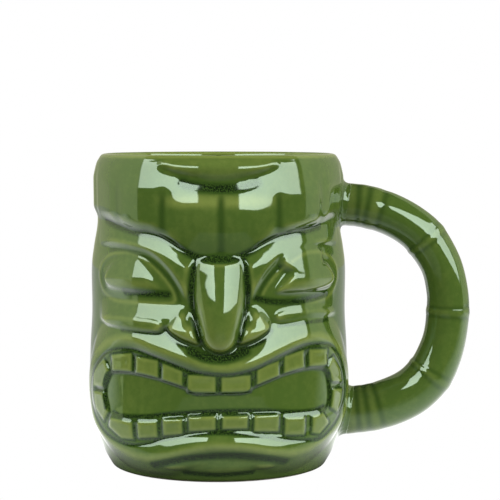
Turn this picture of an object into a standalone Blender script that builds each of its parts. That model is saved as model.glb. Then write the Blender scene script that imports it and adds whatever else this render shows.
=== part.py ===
"""Tiki mug: a slip-cast cup with a carved idol face and a bamboo handle luted on at its side.

Blender works in metres here, with +Z up. The face looks along -Y and the handle is on +X.
The origin is the centre of the flat base, on the surface that the mug stands on.

The face is a relief on the turned wall. It is drawn in millimetres on the unrolled wall:
u runs round the wall from the middle of the face towards the handle, and z runs up.
"""

import math

import bmesh
import bpy
import numpy as np
from mathutils import Matrix, Vector

MM = 0.001
GAP = 0.3                     # clearance between pieces that touch, mm
WELD = 0.01                   # points closer than this become one, mm
SHARP_ANGLE = 40.0            # edges bent more than this stay sharp in the shading, degrees

# Cup, mm
HEIGHT = 120.0
FOOT_INNER_RADIUS = 20.0      # a ring of points on the flat base
UNROLL_RADIUS = 48.0          # u = UNROLL_RADIUS * angle
COLUMNS = 104                 # steps round the wall
CROWDING = 0.45               # how far the columns are drawn towards the face, 0 to 1
FACE_TOP = 90.0               # rows are close together below this height
FACE_ROW = 2.6
BAND_ROW = 4.2
FADE_AT_BASE = (1.0, 4.0)     # relief grows from nothing to full between these heights
MAP_STEP = 0.6                # grid on which the relief is worked out before it is sampled
RELIEF_BLUR = 1.1             # how far the relief is softened, to suit the size of the faces
OUTWARD = (0.3, 0.8)          # shares of the wall's thickness between which relief takes effect
OUTLINE_PIECES = 8            # pieces of curve between two points of the wall's outline
FEATURE_PIECES = 4            # the same for the band's edge and the nose

# Handle, mm
HANDLE_RADIUS = 8.1
NODE_SWELL = 0.9
RING_SWELL = 0.55
HANDLE_SPACING = 1.9          # between rings of vertices along the handle
HANDLE_RESOLUTION = 5         # a bevel resolution of n gives 2n + 4 sides

# Lutes, mm
LUTE_LENGTH = 5.0
LUTE_BURIED = 4.0             # the part of a lute's cone that the wall cuts away
LUTE_FLARE = 2.6              # how far a lute stands out from the handle at the wall
LUTE_LIP = 0.7                # how far it stands out at its thin end
LUTE_SIDES = 28

# Wall without relief, (radius, height) from the rim down to the base, mm
OUTER_OUTLINE = [
    (43.4, 120.0), (44.6, 119.7), (45.5, 118.9), (46.0, 117.5), (46.1, 114.0), (46.1, 100.0),
    (46.4, 93.0), (47.9, 84.5), (48.8, 76.0), (48.7, 60.0), (49.4, 47.0), (49.8, 35.0),
    (49.2, 23.0), (47.2, 14.0), (44.6, 7.0), (42.0, 2.2), (40.9, 0.6), (39.6, 0.0),
]
INNER_OUTLINE = [
    (28.0, 6.5), (36.6, 8.6), (41.2, 15.0), (43.6, 29.0), (43.4, 54.0), (42.0, 82.0),
    (41.4, 102.0), (42.3, 117.6), (42.8, 119.6),
]

# Headband: its lower edge dips to a point between the brows, (u, z)
BAND_EDGE = [
    (-150.8, 97.5), (-105.0, 97.5), (-70.0, 97.5), (-54.0, 97.2), (-44.0, 95.4), (-34.0, 92.8),
    (-24.0, 91.2), (-17.2, 88.4), (-10.0, 83.4), (-4.6, 81.9), (4.6, 81.9), (10.0, 83.6),
    (15.0, 87.4), (22.0, 90.8), (34.0, 92.6), (44.0, 94.6), (54.0, 96.8), (70.0, 97.5),
    (105.0, 97.5), (150.8, 97.5),
]
BAND_RISE_SIDE = 1.8
BAND_RISE_FRONT = 3.4
BAND_FRONT_WIDTH = 26.0       # how far from the middle the front's extra rise reaches
BAND_BELLY = (116.0, 100.0)   # the extra rise grows from nothing to full between these heights
BAND_ROUNDING = 4.0
BAND_GROOVE = 0.7             # depth of the groove under the band's edge
BAND_GROOVE_HALF_WIDTH = 2.0
BAND_GROOVE_END = (80.0, 60.0)  # the groove fades out between these u
FLUTE_COUNT = 14              # shallow upright flutes round the band
FLUTE_OFFSET = 0.9
FLUTE_DEPTH = 0.8
FLUTE_HALF_WIDTH = 3.2
FLUTE_TOP = (118.0, 110.0)

# Crescent hanging from the rim over the forehead
CRESCENT = [(-23.0, 118.0), (-14.0, 112.6), (0.0, 110.2), (14.0, 112.4), (23.5, 118.0), (0.0, 126.0)]
CRESCENT_RISE = 2.0
CRESCENT_ROUNDING = 3.5
CRESCENT_GROOVE = 0.9
CRESCENT_GROOVE_HALF_WIDTH = 2.4
CRESCENT_TOP = (119.5, 115.0)

# Features of the left half of the face; the right half mirrors them
BROW = [
    (-52.0, 91.5), (-40.0, 91.0), (-32.0, 90.0), (-25.0, 88.6), (-19.0, 86.0), (-14.5, 83.0),
    (-10.3, 81.0), (-10.8, 76.0), (-11.4, 70.0), (-11.9, 65.6), (-13.4, 68.0), (-15.4, 72.8),
    (-18.6, 77.8), (-23.6, 82.2), (-29.0, 85.2), (-35.2, 86.0), (-44.0, 85.8), (-52.0, 87.0),
]
BROW_RISE = 2.7
BROW_ROUNDING = 2.4
SIDE_FADE = (57.0, 43.0)      # brows and whiskers fade into the side between these u
EYELID = [
    (-35.0, 84.3), (-42.4, 84.2), (-49.3, 82.2), (-53.8, 78.4), (-54.7, 74.2), (-52.3, 70.0),
    (-47.0, 67.0), (-40.5, 65.6), (-30.0, 65.5), (-20.0, 65.4), (-15.8, 66.2), (-15.6, 69.0),
    (-17.6, 73.0), (-22.0, 77.6), (-27.6, 81.8),
]
EYELID_RISE = 1.3
EYELID_HALF_WIDTH = 1.3
EYEBALL_RISE = (1.3, 3.4)     # at its top and at the ledge near its bottom
EYEBALL_SLOPE = (83.0, 72.5)
EYEBALL_ROUNDING = 3.0
EYEBALL = [
    (-33.5, 82.6), (-41.0, 81.2), (-47.0, 77.6), (-48.4, 73.0), (-45.2, 70.2), (-38.0, 69.4),
    (-28.0, 69.2), (-20.6, 69.6), (-20.6, 71.6), (-24.6, 76.4), (-28.6, 80.0),
]
WHISKER = [
    (-54.0, 58.0), (-46.0, 59.3), (-37.0, 59.9), (-28.0, 59.6), (-20.5, 59.6), (-18.6, 57.8),
    (-20.0, 55.9), (-28.0, 56.0), (-36.0, 56.5), (-46.0, 57.0),
]
WHISKER_RISE = 2.0
WHISKER_ROUNDING = 1.7
CHEEK_RISE = 1.3              # a slope that rises from under the eye to the whisker ridge
CHEEK_SLOPE = (65.0, 58.5)
CHEEK_FOOT = (56.0, 57.0)
CHEEK_INNER_END = (12.0, 17.0)
NOSTRIL = [
    (-13.6, 63.2), (-16.6, 61.6), (-18.2, 58.8), (-17.4, 56.2), (-14.8, 54.2), (-11.4, 52.6),
    (-6.6, 51.2), (-6.0, 54.0), (-8.2, 58.0), (-10.6, 61.4),
]
NOSTRIL_RISE = (1.8, 4.4)     # at its top and at its bottom
NOSTRIL_SLOPE = (63.5, 54.0)
NOSTRIL_ROUNDING = 2.4

# Nose: half width and rise at each height, (z, half width, rise)
NOSE = [
    (48.0, 0.0, 0.0), (49.2, 3.0, 4.6), (50.8, 4.8, 6.2), (54.0, 6.6, 7.1), (58.5, 8.0, 7.3),
    (64.0, 9.2, 6.9), (70.0, 9.8, 6.2), (76.0, 9.3, 5.2), (81.0, 7.4, 3.8), (86.0, 5.4, 1.5),
]

# Lips: one closed ridge round the mouth, by its crest, clockwise from the middle of the top lip
LIP_CREST = [
    (0.0, 43.6), (5.0, 43.9), (11.0, 45.4), (17.0, 47.8), (23.4, 50.6), (29.0, 52.5), (35.0, 53.5),
    (41.0, 52.8), (47.0, 50.3), (52.0, 46.2), (55.6, 41.2), (57.3, 35.5), (57.2, 29.5), (55.0, 24.0),
    (50.4, 19.6), (44.3, 16.4), (38.0, 13.4), (31.0, 11.4), (25.2, 11.5), (18.0, 12.8), (9.0, 14.7),
    (0.0, 15.3), (-6.0, 14.6), (-12.0, 13.0), (-19.7, 10.7), (-26.6, 9.3), (-33.0, 9.8), (-39.1, 11.5),
    (-45.0, 14.2), (-50.0, 18.0), (-54.0, 23.4), (-56.2, 29.5), (-56.2, 36.6), (-54.4, 41.8),
    (-51.0, 46.0), (-46.0, 49.7), (-40.7, 52.0), (-34.9, 53.0), (-29.5, 52.5), (-24.0, 50.8),
    (-18.0, 49.1), (-12.0, 47.2), (-6.0, 45.0),
]
LIP_RISE = 3.6
LIP_SLOPE_OUT = 5.2           # width of the slope from the crest to the cheek
LIP_SLOPE_IN = 4.2            # width of the slope from the crest to the teeth
MOUTH_INSET = 12.2            # how far inside the crest the floor of the mouth starts
MOUTH_FLOOR = -1.6
MOUTH_FLOOR_EDGE = 1.2

# Teeth in the left half of the mouth, from the upper middle round to the lower middle
TEETH = [
    [(-11.0, 41.2), (-1.0, 41.2), (-1.0, 34.6), (-11.0, 34.6)],
    [(-20.3, 45.4), (-12.6, 42.2), (-12.6, 37.0), (-20.3, 38.8)],
    [(-30.9, 46.9), (-21.6, 45.8), (-21.6, 39.4), (-30.9, 40.5)],
    [(-42.2, 46.4), (-32.2, 48.0), (-32.2, 40.9), (-41.4, 40.2)],
    [(-52.4, 39.4), (-45.0, 45.2), (-42.4, 40.2), (-45.4, 34.0), (-52.8, 33.2)],
    [(-53.0, 31.6), (-45.6, 32.2), (-42.8, 25.0), (-46.4, 20.8), (-51.4, 24.6)],
    [(-42.4, 23.4), (-32.0, 22.6), (-32.0, 15.8), (-38.0, 15.4), (-44.4, 19.4)],
    [(-30.4, 22.8), (-22.3, 23.4), (-22.3, 17.2), (-30.4, 16.0)],
    [(-20.4, 24.1), (-12.7, 25.0), (-12.7, 18.8), (-20.4, 17.9)],
    [(-10.8, 25.7), (-1.0, 26.2), (-1.0, 21.0), (-10.8, 20.0)],
]
TOOTH_RISE = 1.6
TOOTH_ROUNDING = 1.8

# Chin: a shallow lens under the lower lip, with a groove over it
CHIN = [
    (-22.0, 6.2), (-12.0, 8.4), (0.0, 9.4), (12.0, 8.4), (23.0, 6.6), (12.0, 4.6), (0.0, 3.9),
    (-12.0, 4.6),
]
CHIN_RISE = 1.0
CHIN_ROUNDING = 2.0
CHIN_GROOVE = 1.0
CHIN_GROOVE_HALF_WIDTH = 2.4
CHIN_GROOVE_END = (32.0, 22.0)
CHIN_GROOVE_FOOT = (5.0, 8.0)

# Handle: its centre line in the XZ plane from the upper root to the lower root, (x, z)
HANDLE_PATH = [
    (43.0, 100.6), (50.0, 100.2), (57.0, 99.0), (66.0, 96.0), (74.0, 92.0), (80.3, 86.7),
    (85.6, 76.9), (88.2, 67.0), (88.7, 58.8), (87.3, 49.2), (84.4, 41.6), (81.0, 35.0),
    (75.5, 29.2), (69.0, 24.9), (60.0, 21.4), (50.0, 20.0), (43.0, 19.6),
]
PATH_PIECES = 12              # pieces of curve between two points of the path
NODE_POINTS = (5, 8, 11)      # the points of HANDLE_PATH that are bamboo nodes
ROOT_RINGS = (6.0, 10.2, 16.2)  # distances of the soft rings from the wall
ROOT_DEPTH = 5.0              # how far the path runs on inside the wall
NODE_LENGTH = 2.8
RING_LENGTH = 1.5
HANDLE_TAPER = 0.45           # the lower end is this much thicker in radius

GLAZE = (0.085, 0.150, 0.040, 1.0)
GLAZE_LIGHT = (0.130, 0.190, 0.050, 1.0)
GLAZE_POOLED = (0.030, 0.070, 0.015, 1.0)
GLAZE_ROUGHNESS = 0.08


# --- Curves and distances on the unrolled wall -------------------------------------------------

def smooth_curve(points, pieces, closed=False):
    """A Catmull-Rom curve through the points, with so many pieces between each pair."""
    points = np.asarray(points, dtype=float)
    if closed:
        padded = np.vstack([points[-1], points, points[0], points[1]])
    else:
        padded = np.vstack([2 * points[0] - points[1], points, 2 * points[-1] - points[-2]])
    steps = np.arange(pieces)[:, None] / pieces
    runs = []
    for a, b, c, d in zip(padded[:-3], padded[1:-2], padded[2:-1], padded[3:]):
        runs.append(0.5 * (2 * b + (c - a) * steps + (2 * a - 5 * b + 4 * c - d) * steps ** 2
                           + (3 * b - a - 3 * c + d) * steps ** 3))
    curve = np.vstack(runs)
    return curve if closed else np.vstack([curve, points[-1]])


def distance_to_path(u, z, path):
    """Distance from each (u, z) to the nearest point of a path."""
    best = np.full(u.shape, np.inf)
    for (au, az), (bu, bz) in zip(path[:-1], path[1:]):
        du, dz = bu - au, bz - az
        t = np.clip(((u - au) * du + (z - az) * dz) / (du * du + dz * dz), 0.0, 1.0)
        best = np.minimum(best, np.hypot(u - au - t * du, z - az - t * dz))
    return best


def closed_path(points, pieces=3):
    """A smooth closed path, or a straight-sided one where pieces is 1."""
    curve = smooth_curve(points, pieces, closed=True)
    return np.vstack([curve, curve[:1]])


def is_inside(u, z, path):
    """Even-odd test against a closed path."""
    inside = np.zeros(u.shape, dtype=bool)
    for (au, az), (bu, bz) in zip(path[:-1], path[1:]):
        if az == bz:
            continue
        crosses = ((az > z) != (bz > z)) & (u < au + (z - az) * (bu - au) / (bz - az))
        inside ^= crosses
    return inside


def depth_inside(u, z, points, pieces=3):
    """Distance in from the outline of a shape, negative outside it."""
    path = closed_path(points, pieces)
    distance = distance_to_path(u, z, path)
    return np.where(is_inside(u, z, path), distance, -distance)


def mirrored(points):
    return [(-u, z) for u, z in points]


def rounded_edge(depth, width):
    """0 at the edge of a form and 1 from width inwards, rising as a quarter circle."""
    t = np.clip(depth / width, 0.0, 1.0)
    return np.sqrt(1.0 - (1.0 - t) ** 2)


def soft_ridge(distance, half_width):
    """1 on a line, falling smoothly to 0 at half_width from it."""
    return 0.5 + 0.5 * np.cos(math.pi * np.clip(np.abs(distance) / half_width, 0.0, 1.0))


def ramp(value, start, end):
    """0 at start, 1 at end, with a smooth change between."""
    t = np.clip((value - start) / (end - start), 0.0, 1.0)
    return t * t * (3.0 - 2.0 * t)


# --- The face, feature by feature: each returns a height in mm ----------------------------------

def headband(u, z):
    edge = smooth_curve(BAND_EDGE, FEATURE_PIECES)
    above = z - np.interp(u, edge[:, 0], edge[:, 1])
    front = np.exp(-(u / BAND_FRONT_WIDTH) ** 2) * ramp(z, *BAND_BELLY)
    rise = BAND_RISE_SIDE + (BAND_RISE_FRONT - BAND_RISE_SIDE) * front
    pitch = 2 * math.pi * UNROLL_RADIUS / FLUTE_COUNT
    from_flute = (u - FLUTE_OFFSET + pitch / 2) % pitch - pitch / 2
    flutes = FLUTE_DEPTH * soft_ridge(from_flute, FLUTE_HALF_WIDTH) * ramp(z, *FLUTE_TOP)
    groove = BAND_GROOVE * soft_ridge(above, BAND_GROOVE_HALF_WIDTH) * ramp(np.abs(u), *BAND_GROOVE_END)
    return rise * rounded_edge(above, BAND_ROUNDING) - flutes * ramp(above, 0.0, BAND_ROUNDING) - groove


def crescent(u, z):
    depth = depth_inside(u, z, CRESCENT)
    half_width = CRESCENT_GROOVE_HALF_WIDTH
    groove = CRESCENT_GROOVE * soft_ridge(depth + 0.5 * half_width, half_width)
    return (CRESCENT_RISE * rounded_edge(depth, CRESCENT_ROUNDING) - groove) * ramp(z, *CRESCENT_TOP)


def brow(u, z, outline):
    depth = depth_inside(u, z, outline)
    return BROW_RISE * rounded_edge(depth, BROW_ROUNDING) * ramp(np.abs(u), *SIDE_FADE)


def eye(u, z, lid, ball):
    ring = EYELID_RISE * soft_ridge(distance_to_path(u, z, closed_path(lid)), EYELID_HALF_WIDTH)
    top, bottom = EYEBALL_RISE
    rise = top + (bottom - top) * ramp(z, *EYEBALL_SLOPE)
    return np.maximum(ring, rise * rounded_edge(depth_inside(u, z, ball), EYEBALL_ROUNDING))


def cheek(u, z, whisker):
    """A slope rising towards the whisker ridge, and the ridge itself."""
    side = ramp(np.abs(u), *SIDE_FADE)
    slope = CHEEK_RISE * ramp(z, *CHEEK_SLOPE) * ramp(z, *CHEEK_FOOT) * ramp(np.abs(u), *CHEEK_INNER_END)
    ridge = WHISKER_RISE * rounded_edge(depth_inside(u, z, whisker), WHISKER_ROUNDING)
    return (slope + ridge) * side


def nose(u, z):
    levels = smooth_curve(NOSE, FEATURE_PIECES)
    half_width = np.interp(z, levels[:, 0], levels[:, 1], left=0.0, right=0.0)
    rise = np.interp(z, levels[:, 0], levels[:, 2], left=0.0, right=0.0)
    across = np.clip(np.abs(u) / np.maximum(half_width, MM), 0.0, 1.0)
    return rise * np.sqrt(1.0 - across ** 2)


def nostril(u, z, outline):
    top, bottom = NOSTRIL_RISE
    rise = top + (bottom - top) * ramp(z, *NOSTRIL_SLOPE)
    return rise * rounded_edge(depth_inside(u, z, outline), NOSTRIL_ROUNDING)


def mouth(u, z):
    """The lip ridge, the teeth inside it and the floor of the mouth."""
    depth = depth_inside(u, z, LIP_CREST)
    slope = np.where(depth < 0.0, LIP_SLOPE_OUT, LIP_SLOPE_IN)
    height = LIP_RISE * soft_ridge(depth, slope)
    for tooth in TEETH + [mirrored(tooth) for tooth in TEETH]:
        form = rounded_edge(depth_inside(u, z, tooth, 1), TOOTH_ROUNDING)
        height = np.maximum(height, TOOTH_RISE * form)
    floor = MOUTH_FLOOR * ramp(depth, MOUTH_INSET, MOUTH_INSET + MOUTH_FLOOR_EDGE)
    return np.where(height > 0.0, height, floor)


def chin(u, z):
    depth = depth_inside(u, z, CHIN)
    groove = CHIN_GROOVE * soft_ridge(depth + 0.5 * CHIN_GROOVE_HALF_WIDTH, CHIN_GROOVE_HALF_WIDTH)
    groove = groove * ramp(np.abs(u), *CHIN_GROOVE_END) * ramp(z, *CHIN_GROOVE_FOOT)
    return CHIN_RISE * rounded_edge(depth, CHIN_ROUNDING) - groove


def face_relief(u, z):
    """Height of the relief over the turned wall, mm."""
    raised = nose(u, z)
    for side in (list, mirrored):
        raised = np.maximum(raised, brow(u, z, side(BROW)))
        raised = np.maximum(raised, eye(u, z, side(EYELID), side(EYEBALL)))
        raised = np.maximum(raised, cheek(u, z, side(WHISKER)))
        raised = np.maximum(raised, nostril(u, z, side(NOSTRIL)))
    height = mouth(u, z)
    height = np.where(raised > 0.0, np.maximum(raised, height), height)
    band = headband(u, z) + crescent(u, z)
    height = np.where(band > 0.0, np.maximum(band, height), height + band)
    return height + chin(u, z)


def blur(grid, sigma):
    """Gaussian blur of a grid along both axes, its edge values carried outwards."""
    reach = int(math.ceil(3 * sigma))
    weights = np.exp(-0.5 * (np.arange(-reach, reach + 1) / sigma) ** 2)
    weights /= weights.sum()
    for axis in (0, 1):
        padded = np.pad(grid, [(reach, reach) if a == axis else (0, 0) for a in (0, 1)], mode='edge')
        grid = sum(w * np.take(padded, range(k, k + grid.shape[axis]), axis)
                   for k, w in enumerate(weights))
    return grid


def relief_map():
    """The relief on a fine grid, blurred to the size of the cup's faces: (us, zs, heights)."""
    half_turn = math.pi * UNROLL_RADIUS
    us = np.linspace(-half_turn, half_turn, int(2 * half_turn / MAP_STEP))
    zs = np.linspace(0.0, HEIGHT, int(HEIGHT / MAP_STEP))
    u, z = np.meshgrid(us, zs)
    heights = face_relief(u.ravel(), z.ravel()).reshape(u.shape)
    return us, zs, blur(heights, RELIEF_BLUR / MAP_STEP) * ramp(z, *FADE_AT_BASE)


def sample_map(relief, u, z):
    """Bilinear reading of a relief map."""
    us, zs, heights = relief
    column = np.clip(np.interp(u, us, np.arange(len(us))), 0, len(us) - 1.001)
    row = np.clip(np.interp(z, zs, np.arange(len(zs))), 0, len(zs) - 1.001)
    i, j = row.astype(int), column.astype(int)
    fi, fj = row - i, column - j
    low = heights[i, j] * (1 - fj) + heights[i, j + 1] * fj
    high = heights[i + 1, j] * (1 - fj) + heights[i + 1, j + 1] * fj
    return low * (1 - fi) + high * fi


# --- Blender helpers ------------------------------------------------------------------------------

def clear_scene():
    for thing in list(bpy.data.objects):
        bpy.data.objects.remove(thing, do_unlink=True)


def new_collection(name):
    collection = bpy.data.collections.new(name)
    bpy.context.scene.collection.children.link(collection)
    return collection


def glaze_material(name, colour):
    material = bpy.data.materials.new(name)
    material.use_nodes = True
    shader = material.node_tree.nodes["Principled BSDF"]
    shader.inputs["Base Color"].default_value = colour
    shader.inputs["Roughness"].default_value = GLAZE_ROUGHNESS
    shader.inputs["Metallic"].default_value = 0.0
    material.diffuse_color = colour
    return material


def add_object(name, mesh, collection):
    thing = bpy.data.objects.new(name, mesh)
    collection.objects.link(thing)
    return thing


def bake(thing):
    """The object's evaluated mesh, as a new mesh of its own."""
    bpy.context.view_layer.update()
    evaluated = thing.evaluated_get(bpy.context.evaluated_depsgraph_get())
    return bpy.data.meshes.new_from_object(evaluated)


def replace_by_baked(thing, collection):
    """Swap an object for its evaluated mesh, with coincident points welded."""
    name = thing.name
    mesh = bake(thing)
    matrix = thing.matrix_world.copy()
    bpy.data.objects.remove(thing, do_unlink=True)
    work = bmesh.new()
    work.from_mesh(mesh)
    bmesh.ops.remove_doubles(work, verts=work.verts, dist=WELD * MM)
    work.to_mesh(mesh)
    work.free()
    baked = add_object(name, mesh, collection)
    baked.matrix_world = matrix
    return baked


def turned(name, outline, collection):
    """A Screw of an outline given as (radius, height) in mm."""
    mesh = bpy.data.meshes.new(name)
    points = [(radius * MM, 0.0, height * MM) for radius, height in outline]
    mesh.from_pydata(points, [(i, i + 1) for i in range(len(points) - 1)], [])
    thing = add_object(name, mesh, collection)
    screw = thing.modifiers.new("turn", 'SCREW')
    screw.steps = COLUMNS
    screw.render_steps = COLUMNS
    screw.use_merge_vertices = True
    screw.merge_threshold = WELD * MM
    screw.use_normal_calculate = False
    return thing


def subtract(thing, cutters):
    for cutter in cutters:
        cut = thing.modifiers.new("cut_" + cutter.name, 'BOOLEAN')
        cut.operation = 'DIFFERENCE'
        cut.solver = 'EXACT'
        cut.object = cutter


def hide_as_cutter(thing):
    thing.hide_render = True
    thing.display_type = 'WIRE'


def shade_round(thing):
    thing.data.shade_smooth()
    thing.data.set_sharp_from_angle(angle=math.radians(SHARP_ANGLE))


# --- Cup ------------------------------------------------------------------------------------------

def even_rows(outline):
    """The outline resampled so that rows are FACE_ROW apart on the face, BAND_ROW above it."""
    curve = smooth_curve(outline, OUTLINE_PIECES)
    middle = 0.5 * (curve[:-1, 1] + curve[1:, 1])
    pitch = np.where(middle < FACE_TOP, FACE_ROW, BAND_ROW)
    rows = np.concatenate([[0.0], np.cumsum(np.hypot(*np.diff(curve, axis=0).T) / pitch)])
    stations = np.linspace(0.0, rows[-1], int(round(rows[-1])) + 1)
    radius = np.interp(stations, rows, curve[:, 0])
    height = np.interp(stations, rows, curve[:, 1])
    return list(zip(radius, height))


def carve_face(mesh, relief, grow=0.0):
    """Crowd the columns towards the face and move the outer wall out by the relief."""
    count = len(mesh.vertices)
    co = np.empty(count * 3)
    mesh.vertices.foreach_get("co", co)
    co = co.reshape(count, 3) / MM
    radius = np.hypot(co[:, 0], co[:, 1])
    angle = np.arctan2(co[:, 0], -co[:, 1])
    angle = angle - CROWDING * np.sin(angle)
    z = co[:, 2]
    outer = np.asarray(OUTER_OUTLINE)[::-1]
    inner = np.asarray(INNER_OUTLINE)
    wall_in = np.interp(z, inner[:, 1], inner[:, 0], left=0.0)
    wall_out = np.interp(z, outer[:, 1], outer[:, 0])
    outward = ramp((radius - wall_in) / (wall_out - wall_in), *OUTWARD)
    height = sample_map(relief, UNROLL_RADIUS * angle, z)
    radius = radius + outward * height + grow * (radius > INNER_OUTLINE[0][0])
    co[:, 0] = radius * np.sin(angle)
    co[:, 1] = -radius * np.cos(angle)
    mesh.vertices.foreach_set("co", (co * MM).ravel())
    mesh.update()


def make_mug_body(collection, relief):
    """The cup: outer wall with its relief, rim, smooth inside and flat base, in one casting."""
    wall = even_rows(OUTER_OUTLINE)
    floor = INNER_OUTLINE[0][1]
    outline = [(0.0, floor)] + INNER_OUTLINE + wall + [(FOOT_INNER_RADIUS, 0.0), (0.0, 0.0)]
    cup = turned("mug_body", outline, collection)
    cup = replace_by_baked(cup, collection)
    carve_face(cup.data, relief)
    cup.data.materials.append(glaze_material("celadon_glaze_body", GLAZE))
    shade_round(cup)
    return cup


def make_wall_cutter(collection, relief):
    """The cup's outer surface as a solid, grown by the gap, for trimming what meets the wall."""
    wall = even_rows(OUTER_OUTLINE)
    outline = [(0.0, HEIGHT)] + wall + [(0.0, 0.0)]
    cutter = turned("wall_cutter", outline, collection)
    cutter = replace_by_baked(cutter, collection)
    carve_face(cutter.data, relief, grow=GAP)
    hide_as_cutter(cutter)
    return cutter


# --- Handle ---------------------------------------------------------------------------------------

def handle_stations():
    """Points along the bamboo handle, how far along each lies, the whole length and the nodes, mm."""
    curve = smooth_curve(HANDLE_PATH, PATH_PIECES)
    lengths = np.concatenate([[0.0], np.cumsum(np.hypot(*np.diff(curve, axis=0).T))])
    count = int(round(lengths[-1] / HANDLE_SPACING))
    stations = np.linspace(0.0, lengths[-1], count + 1)
    x = np.interp(stations, lengths, curve[:, 0])
    z = np.interp(stations, lengths, curve[:, 1])
    nodes = [lengths[PATH_PIECES * index] for index in NODE_POINTS]
    return np.stack([x, z], axis=1), stations, lengths[-1], nodes


def handle_radius(station, total, nodes):
    """Radius of the cane: swollen at each node, with soft rings near each root, mm."""
    radius = HANDLE_RADIUS + HANDLE_TAPER * station / total
    for node in nodes:
        radius += NODE_SWELL * math.exp(-((station - node) / NODE_LENGTH) ** 2)
    for ring in ROOT_RINGS:
        for position in (ROOT_DEPTH + ring, total - ROOT_DEPTH - ring):
            radius += RING_SWELL * math.exp(-((station - position) / RING_LENGTH) ** 2)
    return radius


def tube(name, points, radii, collection):
    """A round tube through points in the XZ plane, its radius set point by point."""
    curve = bpy.data.curves.new(name, 'CURVE')
    curve.dimensions = '3D'
    curve.bevel_depth = MM
    curve.bevel_resolution = HANDLE_RESOLUTION
    curve.use_fill_caps = True
    spline = curve.splines.new('POLY')
    spline.points.add(len(points) - 1)
    for point, (x, z), radius in zip(spline.points, points, radii):
        point.co = (x * MM, 0.0, z * MM, 1.0)
        point.radius = radius
    return add_object(name, curve, collection)


def bamboo(name, grow, collection):
    """The whole cane from inside the wall to inside the wall, grown by so many mm in radius."""
    points, stations, total, nodes = handle_stations()
    radii = [handle_radius(station, total, nodes) + grow for station in stations]
    return replace_by_baked(tube(name, points, radii, collection), collection)


def make_handle(collection, wall_cutter):
    handle = bamboo("handle", 0.0, collection)
    subtract(handle, [wall_cutter])
    handle.data.materials.append(glaze_material("celadon_glaze_handle", GLAZE_LIGHT))
    shade_round(handle)
    return handle


def make_handle_cutter(collection):
    """The handle grown by the gap, for boring the lutes."""
    cutter = bamboo("handle_cutter", GAP, collection)
    hide_as_cutter(cutter)
    return cutter


# --- Lutes ----------------------------------------------------------------------------------------

def make_lute(name, end, collection, cutters):
    """A flared collar of slip against the wall, round one end (0 or -1) of the handle."""
    step = 1 if end == 0 else -1
    (wall_x, wall_z), (away_x, away_z) = HANDLE_PATH[end + step], HANDLE_PATH[end + 2 * step]
    base = Vector((wall_x, 0.0, wall_z)) * MM
    axis = (Vector((away_x, 0.0, away_z)) * MM - base).normalized()
    mesh = bpy.data.meshes.new(name)
    work = bmesh.new()
    length = (LUTE_LENGTH + LUTE_BURIED) * MM
    thick = (HANDLE_RADIUS + GAP + LUTE_FLARE) * MM
    thin = (HANDLE_RADIUS + GAP + LUTE_LIP) * MM
    bmesh.ops.create_cone(work, cap_ends=True, segments=LUTE_SIDES, radius1=thick, radius2=thin, depth=length)
    turn = axis.to_track_quat('Z', 'Y').to_matrix().to_4x4()
    centre = base + axis * (0.5 * length - LUTE_BURIED * MM)
    bmesh.ops.transform(work, matrix=Matrix.Translation(centre) @ turn, verts=work.verts)
    work.to_mesh(mesh)
    work.free()
    lute = add_object(name, mesh, collection)
    subtract(lute, cutters)
    lute.data.materials.append(glaze_material("celadon_glaze_" + name, GLAZE_POOLED))
    shade_round(lute)
    return lute


def build():
    clear_scene()
    mug = new_collection("tiki_mug")
    cutters = new_collection("cutters")
    relief = relief_map()
    wall_cutter = make_wall_cutter(cutters, relief)
    handle_cutter = make_handle_cutter(cutters)
    make_mug_body(mug, relief)
    make_handle(mug, wall_cutter)
    make_lute("upper_handle_lute", 0, mug, [wall_cutter, handle_cutter])
    make_lute("lower_handle_lute", -1, mug, [wall_cutter, handle_cutter])


build()
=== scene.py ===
"""Looks of the tiki mug: a celadon-glazed cup with an idol's face in relief and a bamboo handle.

Lengths here are in millimetres until they reach a mesh. The face is drawn on the unrolled wall:
u runs round the wall from the middle of the face (-Y) towards the handle (+X), and z runs up.
"""

import math

import bmesh
import bpy
import numpy as np
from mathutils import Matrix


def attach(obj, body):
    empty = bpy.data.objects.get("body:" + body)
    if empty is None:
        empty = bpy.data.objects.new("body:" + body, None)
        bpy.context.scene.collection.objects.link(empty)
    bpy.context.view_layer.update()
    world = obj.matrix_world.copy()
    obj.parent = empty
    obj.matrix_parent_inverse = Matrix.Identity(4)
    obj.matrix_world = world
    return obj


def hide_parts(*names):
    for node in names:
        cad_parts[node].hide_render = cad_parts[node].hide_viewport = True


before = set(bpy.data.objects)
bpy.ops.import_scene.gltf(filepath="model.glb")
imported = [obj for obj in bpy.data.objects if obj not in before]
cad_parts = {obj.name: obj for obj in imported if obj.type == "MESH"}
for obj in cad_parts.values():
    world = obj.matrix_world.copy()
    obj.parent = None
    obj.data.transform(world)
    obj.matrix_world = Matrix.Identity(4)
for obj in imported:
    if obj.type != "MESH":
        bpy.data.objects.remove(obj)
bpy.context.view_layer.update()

MM = 0.001
TINY = 0.001                  # keeps a width from being divided by when it is zero

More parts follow.
